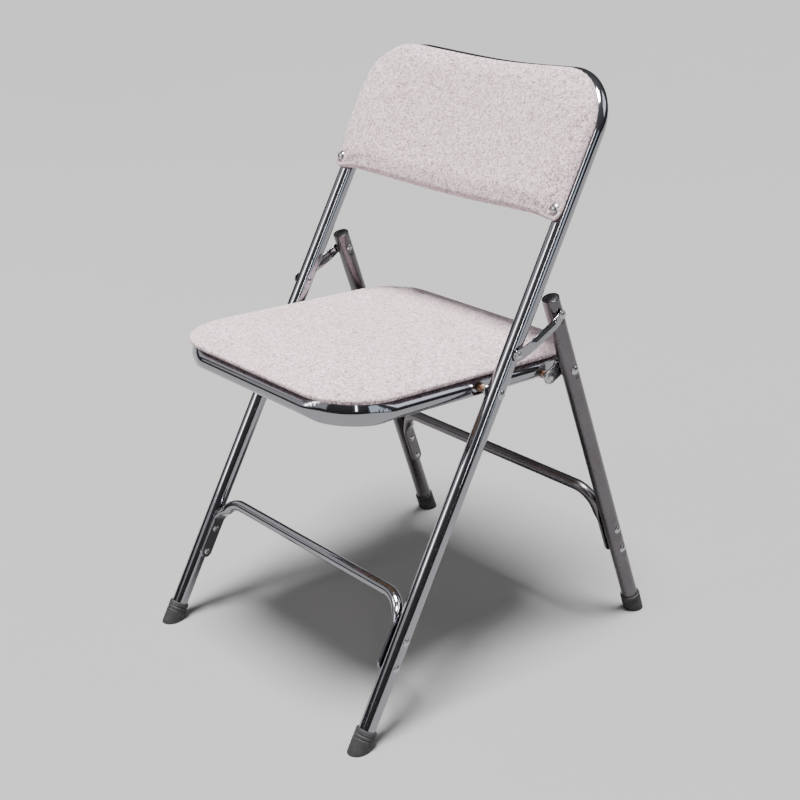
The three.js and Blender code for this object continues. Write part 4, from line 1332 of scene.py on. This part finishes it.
def build_seat_screws():
    """Pan-head screws with a cross recess, driven up through the ring's tabs."""
    for side_name in SIDES:
        for end in ("front", "rear"):
            name = f"seat_screw_{end}_{side_name}"
            x, y, _ = middle(seat, name)
            low, high = extent(seat, name)
            base = low[2] + 0.003
            crown = low[2] + 0.0001
            head_r, shank_r = 0.0044, 0.0021
            head = [(0, crown)]
            head += [(r, crown + 0.000011 * i * i)
                     for i, r in enumerate(np.linspace(0.0004, 0.0040, 12), 1)]
            head += [(head_r, low[2] + 0.0021), (head_r, base), (shank_r, base),
                     (shank_r, high[2] - 0.003), (0, high[2] - 0.0008)]
            points, faces = skin(lathe(head, 48), caps=False)
            points = np.array(points)
            arms = np.minimum(np.abs(points[:, 0]), np.abs(points[:, 1])) < 0.0005
            reach = np.hypot(points[:, 0], points[:, 1]) < 0.0026
            points[arms & reach & (points[:, 2] < low[2] + 0.0016), 2] += 0.0011
            points[:, 0] += x
            points[:, 1] += y
            screw = make_object(f"{name}_fine", seat.out(points), faces, steel)
            finish_piece(screw, "seat", "rivet_steel", name)


# ---- backrest


def back_outline():
    low, high = extent(front, "back_pad")
    return Outline(high[0], low[2], high[2], PAD_FOOT_R, PAD_CORNER_R)


def padded_outline():
    """The cloth lies a little outside the board that it is wrapped round."""
    wrap, hang = 0.0020, 0.0030
    board = back_outline()
    return Outline(board.half + wrap, board.low - hang, board.high + wrap * 0.5,
                   PAD_FOOT_R, PAD_CORNER_R)


def back_pad_start(outline, thick):
    """The backrest's pad before it swells, flat, with its rear at height 0."""
    profile = [(-0.020, 0.0), (-0.004, 0.0), (-0.0012, 0.0010), (-0.0004, 0.0034),
               (-0.0008, thick - 0.0082), (-0.0026, thick - 0.0048), (-0.0062, thick - 0.0026),
               (-0.020, thick - 0.0010)]
    rise = (thick * 0.45, thick * 0.8)
    return pad_start(outline, profile, 0.0042, "back_pad_start", rise, 0.0012, 0.03)


def pinch(points, x, z, face, depth):
    """Sinks the pad's face round a rivet and gathers it into faint radial folds."""
    dx, dy = points[:, 0] - x, points[:, 1] - z
    away = np.hypot(dx, dy)
    angle = np.arctan2(dy, dx)
    wide = np.exp(-(away / 0.030) ** 2)
    pull = np.exp(-(away / 0.0095) ** 2)
    folds = np.exp(-((away - 0.013) / 0.009) ** 2) * np.sin(angle * 7 + x * 40)
    points[:, 2] -= face * (depth * (0.72 * wide + 0.28 * pull) + 0.0003 * folds)


def build_back_pad():
    """A thin crowned pad, bowed like the top bar, pulled in where its two rivets hold it."""
    outline = padded_outline()
    back_face = -TUBE_R - PAD_CLEARANCE
    thick = back_face - extent(front, "back_pad")[0][1]
    pad = back_pad_start(outline, thick)
    inflate(pad, coordinates(pad)[:, 2] < 0.0030, cap=0.0022, pressure=4.0)
    pad = subdivided(pad, "back_pad_fine")
    points = coordinates(pad)
    margin, out_x, out_y = outline.margin(points[:, 0], points[:, 1])

    face = smoothstep(thick * 0.15, thick * 0.85, points[:, 2])
    for side_name in SIDES:
        x, _, z = middle(front, f"back_rivet_{side_name}")
        pinch(points, x, z, face, thick - RIVET_SEAT - 0.0002)
        foot = 1 - smoothstep(outline.low, outline.low + 0.014, points[:, 1])
        points[:, 1] -= 0.0035 * foot * np.exp(-((points[:, 0] - x) / 0.022) ** 2)
    behind_panel = (margin < -PANEL_INSET) & (points[:, 2] < thick * 0.35)
    points[behind_panel, 2] = 0.0034
    set_coordinates(pad, points)

    lay_cloth(pad, points, thick * 0.8, margin, out_x, out_y)
    depth = back_face - points[:, 2] + bow(points[:, 0])
    set_coordinates(pad, front.out(np.column_stack([points[:, 0], depth, points[:, 1]])))
    pad.data.flip_normals()
    dress_pad(pad)
    finish_piece(pad, "front_frame", "heather_fabric", "back_pad")


def panel_grid():
    """Points over the panel's outline: a grid squeezed to fit the rounded corners."""
    outline = back_outline()
    columns, rows = 84, 36
    half = outline.half - PANEL_INSET
    low, high = outline.low + PANEL_INSET, outline.high - PANEL_INSET
    radius = outline.high_radius - PANEL_INSET
    grid = []
    for x in half * np.sin(np.linspace(-math.pi / 2, math.pi / 2, columns)):
        into = max(abs(x) - (half - radius), 0)
        top = high - radius + math.sqrt(max(radius ** 2 - into ** 2, 0))
        grid.append([(x, z) for z in np.linspace(low, top, rows)])
    return np.array(grid)


def build_panel():
    """The bowed board that closes the backrest's rear."""
    rear_face, thick, bevel = -TUBE_R - 0.0010, 0.0028, 0.0007
    grid = panel_grid()
    columns, rows = grid.shape[:2]
    outline = back_outline()
    margin = outline.margin(grid[..., 0], grid[..., 1])[0] + PANEL_INSET
    ease = bevel * (1 - np.clip(-margin / bevel, 0, 1)) ** 2

    def sheet(depth, direction):
        x, z = grid[..., 0], grid[..., 1]
        y = bow(x) + depth + direction * ease
        return front.out(np.stack([x, y, z], -1)).reshape(-1, 3)

    back = sheet(rear_face, -1)
    face = sheet(rear_face - thick, 1)
    points = np.vstack([back, face])
    index = np.arange(columns * rows).reshape(columns, rows)
    faces = []
    for i in range(columns - 1):
        for j in range(rows - 1):
            quad = (index[i, j], index[i + 1, j], index[i + 1, j + 1], index[i, j + 1])
            faces.append(tuple(int(v) for v in quad))
            faces.append(tuple(int(v) + columns * rows for v in quad[::-1]))
    border = [*index[:, 0], *index[-1, 1:], *index[-2::-1, -1], *index[0, -2:0:-1]]
    for a, b in zip(border, border[1:] + border[:1]):
        faces.append((int(a), int(b), int(b) + columns * rows, int(a) + columns * rows))
    panel = make_object("back_panel_fine", points, faces, panel_board)
    finish_piece(panel, "front_frame", "back_panel_board", "back_panel")


def build_back_rivets():
    """The two rivets through the pad, its board and the tube, heads to the front."""
    for side_name, side in SIDES.items():
        name = f"back_rivet_{side_name}"
        x, _, z = middle(front, name)
        head_at = TUBE_R + PAD_CLEARANCE + RIVET_SEAT
        tail_at = -TUBE_R + 0.0002

        def place(points):
            p = np.asarray(points)
            return front.out(np.stack([x + p[:, 0], -p[:, 2], z + p[:, 1]], -1))

        profile = [(0, tail_at - 0.0006), (0.0024, tail_at - 0.0006), (0.0024, head_at)]
        profile += [(r, head_at + h) for r, h in dome(0.0066, 0.0031)]
        piece = turned(f"{name}_fine", profile, steel, place)
        finish_piece(piece, "front_frame", "rivet_steel", name)


# ---- the whole chair

build_front_tube()
build_crossbar(front, "front_crossbar", front_leg_x, "front_frame", "chrome_tube", chrome)
build_crossbar(rear, "rear_crossbar", rear_leg_x, "rear_legs", "dull_chrome_tube", dull_chrome)
for side_name, side in SIDES.items():
    build_foot(front, f"front_foot_{side_name}", "front_frame")
    build_foot(rear, f"rear_foot_{side_name}", "rear_legs")
    build_rear_leg(side_name, side)
    build_seat_pivot(side_name, side)
    build_rear_bracket(side_name, side)
    build_link(side_name, side)
build_seat_ring()
build_seat_tabs()
build_seat_board()
build_seat_screws()
build_seat_pad()
build_panel()
build_back_pad()
build_back_rivets()


# ---- floor, lights and camera


def build_floor():
    """A flat disc."""
    radii, count = (0.5, 2.0, 5.0, 14.0), 96
    angles = np.linspace(0, 2 * math.pi, count, endpoint=False)
    rings = [[(r * math.cos(a), r * math.sin(a), 0) for a in angles] for r in radii]
    points, faces = skin(np.array(rings)[::-1], caps=False)
    faces.append(tuple(range(3 * count, 4 * count)))
    floor = make_object("studio_floor", points, faces, floor_material())


def aim_lamp(name, data, azimuth, elevation, distance=None):
    """A lamp that faces the chair. Azimuth 0 is in front of it and 90 on its right."""
    target = Vector((0, 0, 0.42))
    a, e = math.radians(azimuth), math.radians(elevation)
    way = Vector((math.sin(a) * math.cos(e), -math.cos(a) * math.cos(e), math.sin(e)))
    lamp = bpy.data.objects.new(name, data)
    if distance:
        lamp.location = target + way * distance
    lamp.rotation_euler = (-way).to_track_quat("-Z", "Y").to_euler()
    bpy.context.scene.collection.objects.link(lamp)


def area_light(name, azimuth, elevation, distance, width, height, watts, colour=(1, 1, 1)):
    """A softbox."""
    data = bpy.data.lights.new(name, "AREA")
    data.shape = "RECTANGLE"
    data.size, data.size_y = width, height
    data.energy = watts
    data.color = colour
    aim_lamp(name, data, azimuth, elevation, distance)


def sun_light(name, azimuth, elevation, angle, strength):
    """One large soft light, far enough away to light the whole floor evenly."""
    data = bpy.data.lights.new(name, "SUN")
    data.angle = math.radians(angle)
    data.energy = strength
    aim_lamp(name, data, azimuth, elevation)


def build_world():
    """Dark low down and paler overhead."""
    stops = ((0.0, (0.030, 0.030, 0.033, 1)), (0.9, (0.20, 0.20, 0.21, 1)))
    world = bpy.data.worlds.new("studio")
    world.use_nodes = True
    tree = world.node_tree
    coordinates_node = tree.nodes.new("ShaderNodeTexCoord")
    split = tree.nodes.new("ShaderNodeSeparateXYZ")
    ramp = tree.nodes.new("ShaderNodeValToRGB")
    tree.links.new(coordinates_node.outputs["Generated"], split.inputs[0])
    tree.links.new(split.outputs["Z"], ramp.inputs["Fac"])
    tree.links.new(ramp.outputs["Color"], tree.nodes["Background"].inputs["Color"])
    for element, (place, colour) in zip(ramp.color_ramp.elements, stops):
        element.position = place
        element.color = colour
    tree.nodes["Background"].inputs["Strength"].default_value = 1.0
    bpy.context.scene.world = world


def build_camera():
    """The photo's viewpoint, as fitted: off the chair's right front, higher than its back."""
    place = Vector((1.36356, -1.134365, 1.07488))
    yaw, pitch, roll = 0.8712, 0.3986, -0.0339
    data = bpy.data.cameras.new("camera")
    data.sensor_width = 36.0
    data.lens = 64.68
    camera = bpy.data.objects.new("camera", data)
    turn = Matrix.Rotation(yaw, 4, "Z") @ Matrix.Rotation(math.pi / 2 - pitch, 4, "X")
    camera.matrix_world = Matrix.Translation(place) @ turn @ Matrix.Rotation(roll, 4, "Z")
    bpy.context.scene.collection.objects.link(camera)
    bpy.context.scene.camera = camera


build_floor()
build_world()
sun_light("main", 40, 83, 20, 12.5)
area_light("key", -25, 26, 3.2, 3.5, 1.7, 12)
area_light("key_core", -17, 29, 3.0, 0.62, 1.3, 26)
area_light("left", -88, 30, 3.2, 2.6, 1.4, 9)
area_light("rear", 140, 39, 3.2, 1.7, 1.5, 18, (0.90, 0.94, 1.0))
area_light("strip", 56, 26, 2.7, 0.09, 1.3, 7)
area_light("side", 86, 12, 3.0, 0.8, 1.0, 4, (0.78, 0.87, 1.0))
build_camera()
